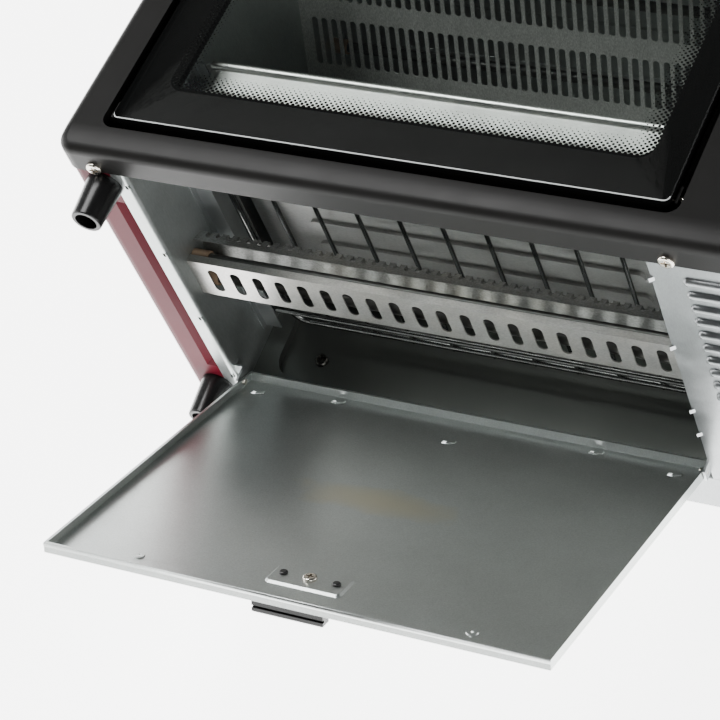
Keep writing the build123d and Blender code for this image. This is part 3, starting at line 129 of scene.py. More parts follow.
class Graph:
    """Builds the node tree of one procedural material."""

    def __init__(self, name: str) -> None:
        """Makes a material with one surface shader.

        Args:
            name: Name of the new material.
        """
        self.material = bpy.data.materials.new(name)
        self.material.use_nodes = True
        self.tree = self.material.node_tree
        self.shader = self.tree.nodes["Principled BSDF"]
        self.output = self.tree.nodes["Material Output"]
        self.place = self.node("ShaderNodeTexCoord").outputs["Object"]

    def node(self, kind: str, **settings: object) -> bpy.types.Node:
        """Adds a node and sets its plain properties.

        Args:
            kind: Blender's name of the node type.
            **settings: Properties of the node.

        Returns:
            The new node.
        """
        made = self.tree.nodes.new(kind)
        for key, value in settings.items():
            setattr(made, key, value)
        return made

    def feed(self, socket: bpy.types.NodeSocket, value: object) -> None:
        """Links a socket or sets a constant on an input."""
        if isinstance(value, bpy.types.NodeSocket):
            self.tree.links.new(value, socket)
        elif isinstance(value, tuple) and len(value) == 3 and socket.type == "RGBA":
            socket.default_value = (*value, 1.0)
        else:
            socket.default_value = value

    def set(self, **values: object) -> None:
        """Sets inputs of the surface shader, with _ for the spaces in their names."""
        for key, value in values.items():
            self.feed(self.shader.inputs[key.replace("_", " ")], value)

    def math(self, operation: str, *values: object, clamp: bool = False) -> bpy.types.NodeSocket:
        """Result of one arithmetic step.

        Args:
            operation: Blender's name of the step.
            *values: Its inputs, as sockets or numbers.
            clamp: Whether the result is kept from 0 to 1.

        Returns:
            The result's socket.
        """
        made = self.node("ShaderNodeMath", operation=operation, use_clamp=clamp)
        for index, value in enumerate(values):
            self.feed(made.inputs[index], value)
        return made.outputs[0]

    def noise(self, size: float, detail: float = 3.0, stretch: Point = (1, 1, 1)) -> bpy.types.NodeSocket:
        """Noise whose features are about one size.

        Args:
            size: Size of the features in metres.
            detail: Number of finer layers.
            stretch: How many times longer the features are along X, Y and Z.

        Returns:
            A value about 0.5.
        """
        scaled = self.node("ShaderNodeVectorMath", operation="MULTIPLY")
        self.feed(scaled.inputs[0], self.place)
        scaled.inputs[1].default_value = tuple(1.0 / (size * step) for step in stretch)
        made = self.node("ShaderNodeTexNoise")
        self.feed(made.inputs["Vector"], scaled.outputs[0])
        made.inputs["Scale"].default_value = 1.0
        made.inputs["Detail"].default_value = detail
        return made.outputs["Fac"]

    def cells(self, size: float) -> bpy.types.NodeSocket:
        """Random level for each irregular cell of about one size in metres."""
        made = self.node("ShaderNodeTexVoronoi")
        self.feed(made.inputs["Vector"], self.place)
        made.inputs["Scale"].default_value = 1.0 / size
        grey = self.node("ShaderNodeRGBToBW")
        self.feed(grey.inputs[0], made.outputs["Color"])
        return grey.outputs[0]

    def spread(self, value: bpy.types.NodeSocket, low: float, high: float,
               start: float = 0.3, end: float = 0.7) -> bpy.types.NodeSocket:
        """Value moved from one range to another.

        Args:
            value: Input that runs about from start to end.
            low: Result at start.
            high: Result at end.
            start: Input that gives low.
            end: Input that gives high.

        Returns:
            The result's socket.
        """
        made = self.node("ShaderNodeMapRange")
        self.feed(made.inputs["Value"], value)
        for key, number in (("From Min", start), ("From Max", end), ("To Min", low), ("To Max", high)):
            made.inputs[key].default_value = number
        return made.outputs[0]

    def blend(self, share: object, first: object, second: object) -> bpy.types.NodeSocket:
        """Colour between two colours.

        Args:
            share: Share of the second colour.
            first: Colour at 0.
            second: Colour at 1.

        Returns:
            The colour's socket.
        """
        made = self.node("ShaderNodeMix", data_type="RGBA")
        self.feed(made.inputs[0], share)
        self.feed(made.inputs[6], first)
        self.feed(made.inputs[7], second)
        return made.outputs[2]

    def bump(self, height: bpy.types.NodeSocket, depth: float) -> bpy.types.NodeSocket:
        """Surface relief from a height.

        Args:
            height: Height from 0 to 1.
            depth: Real depth in metres of a height of 1.

        Returns:
            The normal's socket.
        """
        made = self.node("ShaderNodeBump")
        made.inputs["Distance"].default_value = depth
        self.feed(made.inputs["Height"], height)
        return made.outputs[0]

    def axis(self, direction: Vector, origin: Vector) -> bpy.types.NodeSocket:
        """Distance in metres of the shaded point from an origin, along a direction."""
        made = self.node("ShaderNodeVectorMath", operation="DOT_PRODUCT")
        self.feed(made.inputs[0], self.place)
        made.inputs[1].default_value = tuple(direction)
        return self.math("SUBTRACT", made.outputs["Value"], direction.dot(origin))


@dataclass(frozen=True)
class Finish:
    """A finish with fine grain, slow colour change and its own gloss."""

    name: str
    colour: Colour
    second: Colour
    roughness: float = 0.4
    roughness_change: float = 0.06
    metallic: float = 0.0
    grain_size: float = 0.0006
    grain_depth: float = 0.00001
    cloud_size: float = 0.05
    stretch: Point = (1, 1, 1)
    specular: float = 0.5
    speckle: float = 0.0

    def dress(self, graph: Graph) -> bpy.types.NodeSocket:
        """Sets colour, gloss and grain on a graph.

        Args:
            graph: The graph to fill.

        Returns:
            The colour's socket, for what a finish lays over it.
        """
        cloud = graph.noise(self.cloud_size, 4.0, self.stretch)
        colour = graph.blend(graph.spread(cloud, 0.0, 1.0), self.colour, self.second)
        low = self.roughness - self.roughness_change
        high = self.roughness + self.roughness_change
        grain = graph.noise(self.grain_size, 2.0, self.stretch)
        dark = tuple(part * 0.35 for part in self.colour)
        colour = graph.blend(graph.spread(grain, 0.0, self.speckle), colour, dark)
        graph.set(
            Base_Color=colour,
            Roughness=graph.spread(graph.noise(self.cloud_size * 0.4, 5.0), low, high),
            Normal=graph.bump(grain, self.grain_depth),
            Metallic=self.metallic,
            Specular_IOR_Level=self.specular,
        )
        return colour

    def make(self) -> bpy.types.Material:
        """Makes the material."""
        graph = Graph(self.name)
        self.dress(graph)
        return graph.material


@dataclass(frozen=True)
class GalvanisedSheet(Finish):
    """Zinc coated sheet with a faint spangle and rolling streaks."""

    spangle_size: float = 0.006
    spangle_share: float = 0.03
    spangle_roughness: float = 0.008

    def dress(self, graph: Graph) -> bpy.types.NodeSocket:
        """Adds the spangle to the plain finish."""
        colour = super().dress(graph)
        flakes = graph.spread(graph.cells(self.spangle_size), 0.0, self.spangle_share, 0.2, 0.8)
        mixed = graph.blend(flakes, colour, tuple(min(1.0, part * 1.5) for part in self.second))
        graph.set(Base_Color=mixed)
        rough = graph.spread(
            graph.cells(self.spangle_size * 0.7), -self.spangle_roughness, self.spangle_roughness, 0.2, 0.8
        )
        cloud = graph.spread(
            graph.noise(self.cloud_size * 0.4, 5.0),
            self.roughness - self.roughness_change,
            self.roughness + self.roughness_change,
        )
        graph.set(Roughness=graph.math("ADD", cloud, rough))
        return mixed


@dataclass(frozen=True)
class CrumbSheet(GalvanisedSheet):
    """Galvanised sheet of the crumb door, with a warm worn patch in its middle."""

    patch_colour: Colour = (0.60, 0.56, 0.42)
    patch_across: float = -0.047
    patch_from_hinge: float = 0.105
    patch_half: Tuple[float, float] = (0.058, 0.017)
    patch_share: float = 0.8

    def dress(self, graph: Graph) -> bpy.types.NodeSocket:
        """Adds the worn patch to the sheet."""
        colour = super().dress(graph)
        along = crumb_directions()[0]
        middle = Vector(joint("crumb_door_hinge")["pos_m"]) + along * self.patch_from_hinge
        middle.x = self.patch_across
        wide = graph.math("DIVIDE", graph.axis(Vector((1.0, 0.0, 0.0)), middle), self.patch_half[0])
        deep = graph.math("DIVIDE", graph.axis(along, middle), self.patch_half[1])
        square = graph.math("ADD", graph.math("MULTIPLY", wide, wide), graph.math("MULTIPLY", deep, deep))
        ragged = graph.math("MULTIPLY", square, graph.spread(graph.noise(0.02, 4.0), 0.6, 1.5))
        share = graph.math("MULTIPLY", graph.math("SUBTRACT", 1.0, ragged, clamp=True), self.patch_share)
        mixed = graph.blend(share, colour, self.patch_colour)
        graph.set(Base_Color=mixed)
        return mixed


@dataclass(frozen=True)
class HeatedSheet(Finish):
    """Bright sheet with warm heat tints along it."""

    tint: Colour = (0.66, 0.57, 0.42)
    tint_share: float = 0.35

    def dress(self, graph: Graph) -> bpy.types.NodeSocket:
        """Adds the heat tint."""
        colour = super().dress(graph)
        share = graph.spread(graph.noise(0.03, 3.0, (1.5, 1, 1)), 0.0, self.tint_share, 0.45, 0.7)
        mixed = graph.blend(share, colour, self.tint)
        graph.set(Base_Color=mixed)
        return mixed


@dataclass(frozen=True)
class PrintedGlass:
    """Clear pane whose inner face has a black border that breaks up into dots, with a painted highlight along
    the front of its lower edge.
    """

    name: str
    window: Tuple[float, float, float, float]
    window_corner: float
    pane: Tuple[float, float, float, float]
    pane_corner: float
    inner_out: float
    outer_out: float
    dot_pitch: float = 0.0034
    dot_radii: Tuple[float, float] = (0.335, 0.06)
    dots_reach: float = 0.0135
    # The edge width and depth here and the pale edge colour below set a band of painted highlight on the
    # pane's lower front edge and lower corners.
    edge_width: float = 0.0008
    edge_depth: float = 0.0004
    tint: Colour = (0.93, 0.95, 0.94)
    print_colour: Colour = (0.004, 0.004, 0.004)
    glint_colour: Colour = (0.62, 0.64, 0.63)

    def inside(self, graph: Graph, across: object, up: object,
               limits: Tuple[float, float, float, float], corner: float) -> bpy.types.NodeSocket:
        """Distance inside a rounded rectangle, negative outside it.

        Args:
            graph: The graph to fill.
            across: Socket with the place across.
            up: Socket with the place up.
            limits: Left, right, low and high limits in metres.
            corner: Corner radius in metres.

        Returns:
            The distance's socket.
        """
        reach = []
        for value, low, high in ((across, limits[0], limits[1]), (up, limits[2], limits[3])):
            off = graph.math("ABSOLUTE", graph.math("SUBTRACT", value, (low + high) / 2))
            reach.append(graph.math("SUBTRACT", off, (high - low) / 2 - corner))
        outer = [graph.math("MAXIMUM", value, 0.0) for value in reach]
        squares = [graph.math("MULTIPLY", value, value) for value in outer]
        length = graph.math("SQRT", graph.math("ADD", squares[0], squares[1]))
        nearer = graph.math("MINIMUM", graph.math("MAXIMUM", reach[0], reach[1]), 0.0)
        return graph.math("SUBTRACT", corner, graph.math("ADD", length, nearer))

    def dots(self, graph: Graph, across: object, up: object, depth: object) -> bpy.types.NodeSocket:
        """Printed share: the solid border, then staggered dots that shrink inwards.

        Args:
            graph: The graph to fill.
            across: Socket with the place across.
            up: Socket with the place up.
            depth: Socket with the distance inside the window.

        Returns:
            1 where the glass is printed and 0 where it is clear.
        """
        near = []
        for shift in (0.0, 0.5):
            offsets = []
            for value in (across, up):
                turns = graph.math("ADD", graph.math("DIVIDE", value, self.dot_pitch), shift)
                offsets.append(graph.math("SUBTRACT", graph.math("FRACT", turns), 0.5))
            squares = [graph.math("MULTIPLY", value, value) for value in offsets]
            near.append(graph.math("SQRT", graph.math("ADD", squares[0], squares[1])))
        distance = graph.math("MINIMUM", near[0], near[1])
        size = graph.spread(depth, self.dot_radii[0], self.dot_radii[1], 0.0, self.dots_reach)
        dot = graph.math("LESS_THAN", distance, size)
        within = graph.math("LESS_THAN", depth, self.dots_reach)
        border = graph.math("LESS_THAN", depth, 0.0)
        return graph.math("MAXIMUM", border, graph.math("MULTIPLY", dot, within))

    def make(self) -> bpy.types.Material:
        """Makes the material."""
        graph = Graph(self.name)
        across = graph.axis(Vector((1.0, 0.0, 0.0)), FRONT.origin)
        up = graph.axis(FRONT.up, FRONT.origin)
        out = graph.axis(FRONT.out, FRONT.origin)
        depth = self.inside(graph, across, up, self.window, self.window_corner)
        inner_face = graph.math("LESS_THAN", out, self.inner_out + 0.0002)
        printed = graph.math("MULTIPLY", self.dots(graph, across, up, depth), inner_face)
        rim = self.inside(graph, across, up, self.pane, self.pane_corner)
        # Painted highlight: a pale, rougher band on the front of the pane's lower edge and round its lower
        # corners stands in for the glint of light on the glass edge.
        border = graph.math("LESS_THAN", rim, self.edge_width)
        front_edge = graph.math("GREATER_THAN", out, self.outer_out - self.edge_depth)
        lower_edge = graph.math("LESS_THAN", up, self.pane[2] + self.pane_corner)
        painted_glint = graph.math("MULTIPLY", graph.math("MULTIPLY", border, front_edge), lower_edge)
        haze = graph.noise(0.03, 4.0)
        graph.set(
            Base_Color=graph.blend(painted_glint, self.print_colour, self.glint_colour),
            Roughness=graph.math("ADD", graph.spread(haze, 0.02, 0.05), graph.math("MULTIPLY", painted_glint, 0.3)),
            Normal=graph.bump(graph.noise(0.06, 1.0), 0.00002),
            Specular_IOR_Level=0.13,
        )
        clear = graph.node("ShaderNodeBsdfTransparent")
        graph.feed(clear.inputs["Color"], self.tint)
        gloss = graph.node("ShaderNodeBsdfGlossy")
        gloss.inputs["Roughness"].default_value = 0.02
        glance = graph.math("POWER", graph.node("ShaderNodeLayerWeight").outputs["Facing"], 5.0)
        mirrored = graph.math("ADD", graph.math("MULTIPLY", glance, 0.96), 0.04)
        outer_face = graph.math("SUBTRACT", 1.0, inner_face)
        pane = graph.node("ShaderNodeMixShader")
        graph.feed(pane.inputs[0], graph.math("MULTIPLY", mirrored, outer_face))
        graph.feed(pane.inputs[1], clear.outputs[0])
        graph.feed(pane.inputs[2], gloss.outputs[0])
        whole = graph.node("ShaderNodeMixShader")
        edge_face = graph.math("LESS_THAN", rim, 0.0001)
        graph.feed(whole.inputs[0], graph.math("MAXIMUM", printed, graph.math("MAXIMUM", painted_glint, edge_face)))
        graph.feed(whole.inputs[1], pane.outputs[0])
        graph.feed(whole.inputs[2], graph.shader.outputs[0])
        graph.feed(graph.output.inputs["Surface"], whole.outputs[0])
        return graph.material


@dataclass(frozen=True)
class LampLens(Finish):
    """Clear coloured lens."""

    def make(self) -> bpy.types.Material:
        """Makes the material, partly see-through."""
        graph = Graph(self.name)
        self.dress(graph)
        graph.set(Transmission_Weight=0.6)
        return graph.material


def dress_node(name: str, material: bpy.types.Material) -> None:
    """Gives a packed sub-part its finish.

    Args:
        name: Name of the sub-part's node.
        material: The finish.
    """
    piece = frame["nodes"][name]
    piece.data.materials.clear()
    piece.data.materials.append(material)
    log.info("dressed %s with %s", name, material.name)


def dress_all(names: Iterable[str], finish: object) -> bpy.types.Material:
    """Gives several sub-parts one finish.

    Args:
        names: Names of the sub-parts' nodes.
        finish: A finish with a make method.

    Returns:
        The material that was made.
    """
    material = finish.make()
    for name in names:
        dress_node(name, material)
    return material


def add_piece(name: str, mesh: bpy.types.Mesh, material: bpy.types.Material, body: Body) -> bpy.types.Object:
    """Adds a new piece that rides on a body.

    Args:
        name: Name of the piece.
        mesh: Its mesh, in the row frame.
        material: Its finish.
        body: The body it moves with.

    Returns:
        The new object.
    """
    piece = bpy.data.objects.new(name, mesh)
    bpy.context.scene.collection.objects.link(piece)
    mesh.materials.clear()
    mesh.materials.append(material)
    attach(piece, body.value)
    log.info("built %s with %d faces", name, len(mesh.polygons))
    return piece


def finished_mesh(name: str, work: bmesh.types.BMesh, smooth: bool = True) -> bpy.types.Mesh:
    """Turns a worked mesh into mesh data.

    Args:
        name: Name of the mesh.
        work: The worked mesh, which is freed.
        smooth: Whether its faces are shaded smooth.

    Returns:
        The mesh data.
    """
    bmesh.ops.recalc_face_normals(work, faces=work.faces)
    for face in work.faces:
        face.smooth = smooth
    mesh = bpy.data.meshes.new(name)
    work.to_mesh(mesh)
    work.free()
    return mesh


def add_roll(work: bmesh.types.BMesh, ends: Tuple[Vector, Vector], out: Vector, up: Vector,
             steps: int = 10) -> None:
    """Adds a straight rolled edge, half an ellipse in section.

    Args:
        work: Mesh that the roll is added to.
        ends: Middles of its flat side at both ends.
        out: Its bulge.
        up: Half of its height.
        steps: Faces around it.
    """
    rings = []
    for end in ends:
        angles = [math.pi * (step / steps - 0.5) for step in range(steps + 1)]
        rings.append([work.verts.new(end + out * math.cos(angle) + up * math.sin(angle)) for angle in angles])
    for index in range(-1, steps):
        work.faces.new((rings[0][index], rings[0][index + 1], rings[1][index + 1], rings[1][index]))
    work.faces.new(rings[0])
    work.faces.new(list(reversed(rings[1])))


def highest_out(name: str) -> float:
    """Distance out of the front of a sub-part's highest place."""
    return max(FRONT.local(vertex.co).z for vertex in frame["nodes"][name].data.vertices)


def add_rounded_bar(work: bmesh.types.BMesh, place: Matrix, reach: Tuple[float, float], width: float,
                    depth: float) -> None:
    """Adds a thin flat bar with round ends, along Y of its placement.

    Args:
        work: Mesh that the bar is added to.
        place: Placement of the bar's origin, on the surface it is printed on.
        reach: Start and end along Y in metres.
        width: Its width.
        depth: Its thickness along Z.
    """
    radius = width / 2
    outline = []
    for end, start_angle in ((reach[1] - radius, 0.0), (reach[0] + radius, math.pi)):
        for step in range(7):
            angle = start_angle + math.pi * step / 6
            outline.append((radius * math.cos(angle), end + radius * math.sin(angle)))
    rings = [[work.verts.new(place @ Vector((x, y, z))) for x, y in outline] for z in (0.0, depth)]
    work.faces.new(rings[1])
    work.faces.new(list(reversed(rings[0])))
    count = len(outline)
    for index in range(count):
        after = (index + 1) % count
        work.faces.new((rings[0][index], rings[0][after], rings[1][after], rings[1][index]))


def add_number(work: bmesh.types.BMesh, place: Matrix, label: str, size: float, depth: float) -> None:
    """Adds a printed number, centred on its placement.

    Args:
        work: Mesh that the number is added to.
        place: Placement of its middle, on the surface it is printed on.
        label: The number.
        size: Height of a line of it in metres.
        depth: Its thickness along Z.
    """
    curve = bpy.data.curves.new("number_" + label, "FONT")
    curve.body = label
    curve.size = size
    curve.extrude = depth / 2
    curve.resolution_u = 3
    curve.align_x = "CENTER"
    curve.align_y = "CENTER"
    holder = bpy.data.objects.new("number_" + label, curve)
    mesh = bpy.data.meshes.new_from_object(holder)
    mesh.transform(place @ Matrix.Translation((0.0, 0.0, depth / 2)))
    work.from_mesh(mesh)
    bpy.data.objects.remove(holder)
    bpy.data.curves.remove(curve)
    bpy.data.meshes.remove(mesh)


def soften_edges(names: Iterable[str], width: float) -> None:
    """Rounds the sharp edges of packed sheets a little, as folded and rolled sheet has them.

    Args:
        names: Names of the sub-parts' nodes.
        width: Width of the rounding in metres.
    """
    for name in names:
        piece = frame["nodes"][name]
        weld = piece.modifiers.new("joined_corners", "WELD")
        weld.merge_threshold = 0.000001
        soft = piece.modifiers.new("soft_edges", "BEVEL")
        soft.width = width
        soft.segments = 2
        soft.limit_method = "ANGLE"
        soft.angle_limit = math.radians(40)
        soft.harden_normals = True


@dataclass
class Studio:
    """Plain pale floor, soft lights and the photograph's camera."""

    target: Point = (-0.02, -0.05, 0.14)
    lens: float = 133.1
    eye: Point = (0.5700, -0.8470, 1.3865)
    right: Point = (0.8952, 0.3592, -0.2637)
    upward: Point = (-0.1686, 0.8208, 0.5457)
    floor_reach: float = 12.0
    floor_colour: Colour = (0.86, 0.86, 0.855)
    floor_glow: float = 6.0

    def build(self) -> None:
        """Builds the whole set."""
        self.lay_floor()
        self.hang_lights()
        self.set_sky()
        self.set_camera()

    def lay_floor(self) -> None:
        """Lays the floor under the oven."""
        work = bmesh.new()
        bmesh.ops.create_grid(work, x_segments=8, y_segments=8, size=self.floor_reach)
        floor = bpy.data.objects.new("studio_floor", finished_mesh("studio_floor", work))
        bpy.context.scene.collection.objects.link(floor)
        graph = Graph("studio_floor")
        cloud = graph.spread(graph.noise(0.8, 2.0), 0.0, 1.0)
        darker = tuple(part * 0.985 for part in self.floor_colour)
        graph.set(
            Base_Color=graph.blend(cloud, self.floor_colour, darker),
            Roughness=0.7,
            Emission_Color=self.floor_colour,
            Emission_Strength=self.floor_glow,
        )
        floor.data.materials.append(graph.material)

    def hang_lights(self) -> None:
        """Hangs the soft boxes."""
        self.soft_box("overhead", (-0.80, 0.18, 1.95), (1.1, 1.0), 52.0)
        self.soft_box("left_side", (-1.9, -0.3, 0.9), (1.2, 1.2), 22.0)
        self.soft_box("lower_right", (1.3, -1.6, 1.1), (1.3, 1.3), 26.0)

    def soft_box(self, name: str, place: Point, size: Tuple[float, float], power: float) -> None:
        """Hangs one soft box that faces the oven.

        Args:
            name: Name of the light.
            place: Its middle.
            size: Its width and height in metres.
            power: Its power in watts.
        """
        data = bpy.data.lights.new(name, "AREA")
        data.shape = "RECTANGLE"
        data.size, data.size_y = size
        data.energy = power
        light = bpy.data.objects.new(name, data)
        bpy.context.scene.collection.objects.link(light)
        light.location = place
        light.rotation_euler = (Vector(self.target) - Vector(place)).to_track_quat("-Z", "Y").to_euler()

    def set_sky(self) -> None:
        """Surrounds the set with a pale room that darkens overhead and towards the camera."""
        world = bpy.data.worlds.new("studio_room")
        bpy.context.scene.world = world
        world.use_nodes = True
        tree = world.node_tree
        place = tree.nodes.new("ShaderNodeTexCoord")
        parts = tree.nodes.new("ShaderNodeSeparateXYZ")
        ramp = tree.nodes.new("ShaderNodeValToRGB")
        shade = tree.nodes.new("ShaderNodeMapRange")
        for key, value in (("From Min", -0.75), ("From Max", 0.1), ("To Min", 0.2), ("To Max", 1.1)):
            shade.inputs[key].default_value = value
        tree.links.new(place.outputs["Generated"], parts.inputs[0])
        tree.links.new(parts.outputs["Z"], ramp.inputs[0])
        tree.links.new(parts.outputs["Y"], shade.inputs["Value"])
        tree.links.new(ramp.outputs[0], tree.nodes["Background"].inputs["Color"])
        tree.links.new(shade.outputs[0], tree.nodes["Background"].inputs["Strength"])
        ramp.color_ramp.elements[0].position = 0.0
        ramp.color_ramp.elements[0].color = (0.92, 0.93, 0.93, 1.0)
        ramp.color_ramp.elements[1].position = 0.62
        ramp.color_ramp.elements[1].color = (0.10, 0.105, 0.105, 1.0)

    def set_camera(self) -> None:
        """Stands the camera where the photograph was taken from."""
        data = bpy.data.cameras.new("photo_camera")
        data.lens = self.lens
        data.clip_start = 0.05
        data.clip_end = 60.0
        camera = bpy.data.objects.new("photo_camera", data)
        bpy.context.scene.collection.objects.link(camera)
        right = Vector(self.right).normalized()
        behind = right.cross(Vector(self.upward)).normalized()
        upward = behind.cross(right)
        turn = Matrix((right, upward, behind)).transposed().to_4x4()
        camera.matrix_world = Matrix.Translation(self.eye) @ turn
        bpy.context.scene.camera = camera


@dataclass
class Casing:
    """Painted cover, black front frame, back, base sheets, feet and screws."""

    enamel: Finish = Finish(
        "wine_red_enamel", (0.085, 0.004, 0.011), (0.075, 0.003, 0.009), roughness=0.38,
        roughness_change=0.03, grain_size=0.0011, grain_depth=0.000012, cloud_size=0.08, specular=0.09,
    )
    frame_black: Finish = Finish(
        "satin_black_paint", (0.0072, 0.0070, 0.0066), (0.0092, 0.0089, 0.0084), roughness=0.40,
        roughness_change=0.03, grain_size=0.0007, grain_depth=0.000022, cloud_size=0.06, specular=0.14,
    )
    back_sheet: Finish = GalvanisedSheet(
        "back_panel_zinc", (0.30, 0.31, 0.31), (0.36, 0.37, 0.37), roughness=0.45, metallic=1.0,
    )
    base_sheet: Finish = GalvanisedSheet(
        "base_sheet_zinc", (0.33, 0.345, 0.35), (0.39, 0.405, 0.41), roughness=0.36, metallic=1.0,
        speckle=0.2, stretch=(1, 1, 4),
    )
    rubber: Finish = Finish(
        "grommet_rubber", (0.012, 0.012, 0.012), (0.018, 0.018, 0.018), roughness=0.65,
        grain_depth=0.00003, cloud_size=0.01,
    )
    foot: Finish = Finish(
        "foot_black_plastic", (0.004, 0.004, 0.004), (0.006, 0.006, 0.006), roughness=0.25,
        roughness_change=0.02, grain_size=0.0006, grain_depth=0.000004, cloud_size=0.01, specular=0.3,
    )
    nickel: Finish = Finish(
        "nickel_plate", (0.76, 0.71, 0.63), (0.66, 0.61, 0.54), roughness=0.16, roughness_change=0.05,
        metallic=1.0, grain_size=0.0005, grain_depth=0.000004, cloud_size=0.004,
    )
    # Plain dark steel colour for the rear wall screws.
    darkened: Finish = Finish(
        "dark_screw_steel", (0.11, 0.11, 0.10), (0.16, 0.155, 0.14), roughness=0.30, metallic=1.0,
        grain_size=0.0005, grain_depth=0.000004, cloud_size=0.005,
    )

    strip_softness: float = 0.0002

    def build(self) -> None:
        """Dresses the casing's sub-parts."""
        dress_all(["outer_cover"], self.enamel)
        dress_all(["front_frame", "door_hinge_plates"], self.frame_black)
        dress_all(["back_panel"], self.back_sheet)
        dress_all(["louvred_base_panel", "rear_base_strip"], self.base_sheet)
        soften_edges(["rear_base_strip"], self.strip_softness)
        dress_all(["cord_grommet"], self.rubber)
        dress_all(["feet"], self.foot)
        dress_all(
            ["foot_screws", "frame_screws", "cover_screws", "handle_screws", "crumb_catch_screw",
             "door_pivot_pins", "crumb_pivot_pins"],
            self.nickel,
        )
        dress_all(["rear_wall_screws"], self.darkened)


@dataclass
class Cavity:
    """Sheet lining of the oven's inside."""

    wall: Finish = GalvanisedSheet(
        "cavity_wall_zinc", (0.42, 0.45, 0.44), (0.48, 0.51, 0.50), roughness=0.40, metallic=0.9, speckle=0.2,
        grain_size=0.0008, grain_depth=0.00001, stretch=(1, 1, 4),
    )
    rear: Finish = Finish(
        "rear_wall_dark_sheet", (0.150, 0.160, 0.148), (0.175, 0.185, 0.172), roughness=0.30, metallic=0.8,
        roughness_change=0.02, grain_depth=0.000005, cloud_size=0.09, stretch=(1, 3, 1),
    )
    hidden: Finish = GalvanisedSheet(
        "inner_zinc", (0.44, 0.46, 0.46), (0.50, 0.52, 0.52), roughness=0.42, metallic=1.0,
    )

    def build(self) -> None:
        """Dresses the lining."""
        dress_all(["left_cavity_wall", "right_cavity_wall"], self.wall)
        dress_all(["cavity_rear_wall"], self.rear)
        dress_all(["cavity_ceiling", "rear_spacers", "heat_shield", "shelf_rails", "crumb_hinge_brackets",
                   "timer_unit"], self.hidden)


@dataclass
class Heating:
    """Heating rods, their ceramic sleeves, guards and the thermostat's bulb."""

    rods: Finish = Finish(
        "heater_sheath", (0.15, 0.15, 0.145), (0.21, 0.21, 0.20), roughness=0.34, metallic=1.0,
        cloud_size=0.012, grain_size=0.0004,
    )
    ceramic: Finish = Finish(
        "sleeve_ceramic", (0.30, 0.20, 0.13), (0.42, 0.30, 0.20), roughness=0.5, cloud_size=0.008,
        grain_depth=0.00003,
    )
    bright: Finish = HeatedSheet(
        "guard_bright_sheet", (0.48, 0.475, 0.455), (0.55, 0.54, 0.52), roughness=0.38, metallic=1.0,
        speckle=0.35, roughness_change=0.05, grain_size=0.0008, grain_depth=0.00004, cloud_size=0.03,
        stretch=(2, 1, 1),
        tint_share=0.12,
    )
    roof: Finish = HeatedSheet(
        "guard_roof_sheet", (0.30, 0.305, 0.295), (0.35, 0.355, 0.34), roughness=0.44, metallic=0.9,
        speckle=0.5, roughness_change=0.03, grain_size=0.0010, grain_depth=0.00006, cloud_size=0.02,
        stretch=(1.5, 1, 1),
        tint_share=0.15,
    )
    # Painted reflection: the upper guard gets a paler, brighter copy of the guard sheet, which stands in for
    # light that the baking tray reflects onto it.
    upper: Finish = Finish(
        "upper_guard_painted_sheen", (0.66, 0.66, 0.63), (0.76, 0.76, 0.73), roughness=0.45, metallic=0.5,
        speckle=0.5, roughness_change=0.05, grain_size=0.0008, grain_depth=0.00003, cloud_size=0.01,
        stretch=(1, 2, 2),
    )
    copper: Finish = Finish(
        "bulb_copper", (0.55, 0.26, 0.14), (0.45, 0.22, 0.13), roughness=0.3, metallic=1.0, cloud_size=0.01,
    )

    def build(self) -> None:
        """Dresses the heating."""
        dress_all(["lower_heating_rods", "upper_heating_rods"], self.rods)
        dress_all(["element_insulators"], self.ceramic)
        dress_all(["lower_guard"], self.bright)
        dress_all(["lower_guard_roof"], self.roof)
        dress_all(["upper_guard"], self.upper)
        dress_all(["thermostat_bulb"], self.copper)


@dataclass
class Shelves:
    """Wire rack and baking tray."""

    wire: Finish = Finish(
        "rack_wire_plate", (0.13, 0.135, 0.13), (0.18, 0.185, 0.18), roughness=0.22, metallic=1.0,
        roughness_change=0.03, cloud_size=0.02, grain_size=0.0006, grain_depth=0.000002,
    )
    tray: Finish = GalvanisedSheet(
        "tray_sheet", (0.56, 0.56, 0.54), (0.63, 0.63, 0.61), roughness=0.36, metallic=1.0, speckle=0.25,
        grain_size=0.0008, grain_depth=0.00002, stretch=(3, 1, 1),
    )

    def build(self) -> None:
        """Dresses rack and tray."""
        dress_all(["wire_rack"], self.wire)
        dress_all(["baking_tray"], self.tray)


@dataclass
class GlassDoor:
    """Pane with a printed border and the handle; the door's sheet frame is dressed with the control panel."""

    window_mm: Tuple[float, float, float, float] = (11.0, 309.0, 51.0, 202.0)
    opening_left: float = -0.202
    window_corner: float = 0.010
    pane_corner: float = 0.004
    handle: Finish = Finish(
        "handle_black_plastic", (0.012, 0.012, 0.012), (0.016, 0.016, 0.016), roughness=0.34,
        grain_size=0.0008, grain_depth=0.00002, cloud_size=0.02,
    )

    def build(self) -> None:
        """Dresses the door."""
        low, high = self.pane_limits()
        base = FRONT.local(node_box("front_frame")[0]).y
        glass = PrintedGlass(
            "printed_door_glass",
            window=(
                self.opening_left + self.window_mm[0] * MM, self.opening_left + self.window_mm[1] * MM,
                base + self.window_mm[2] * MM, base + self.window_mm[3] * MM,
            ),
            window_corner=self.window_corner,
            pane=(low.x, high.x, low.y, high.y),
            pane_corner=self.pane_corner,
            inner_out=low.z,
            outer_out=high.z,
        )
        dress_all(["door_glass"], glass)
        dress_all(["door_handle", "handle_posts"], self.handle)

    def pane_limits(self) -> Tuple[Vector, Vector]:
        """Limits of the pane across, up and out of the front."""
        places = [FRONT.local(vertex.co) for vertex in frame["nodes"]["door_glass"].data.vertices]
        low = Vector([min(place[axis] for place in places) for axis in range(3)])
        high = Vector([max(place[axis] for place in places) for axis in range(3)])
        return low, high


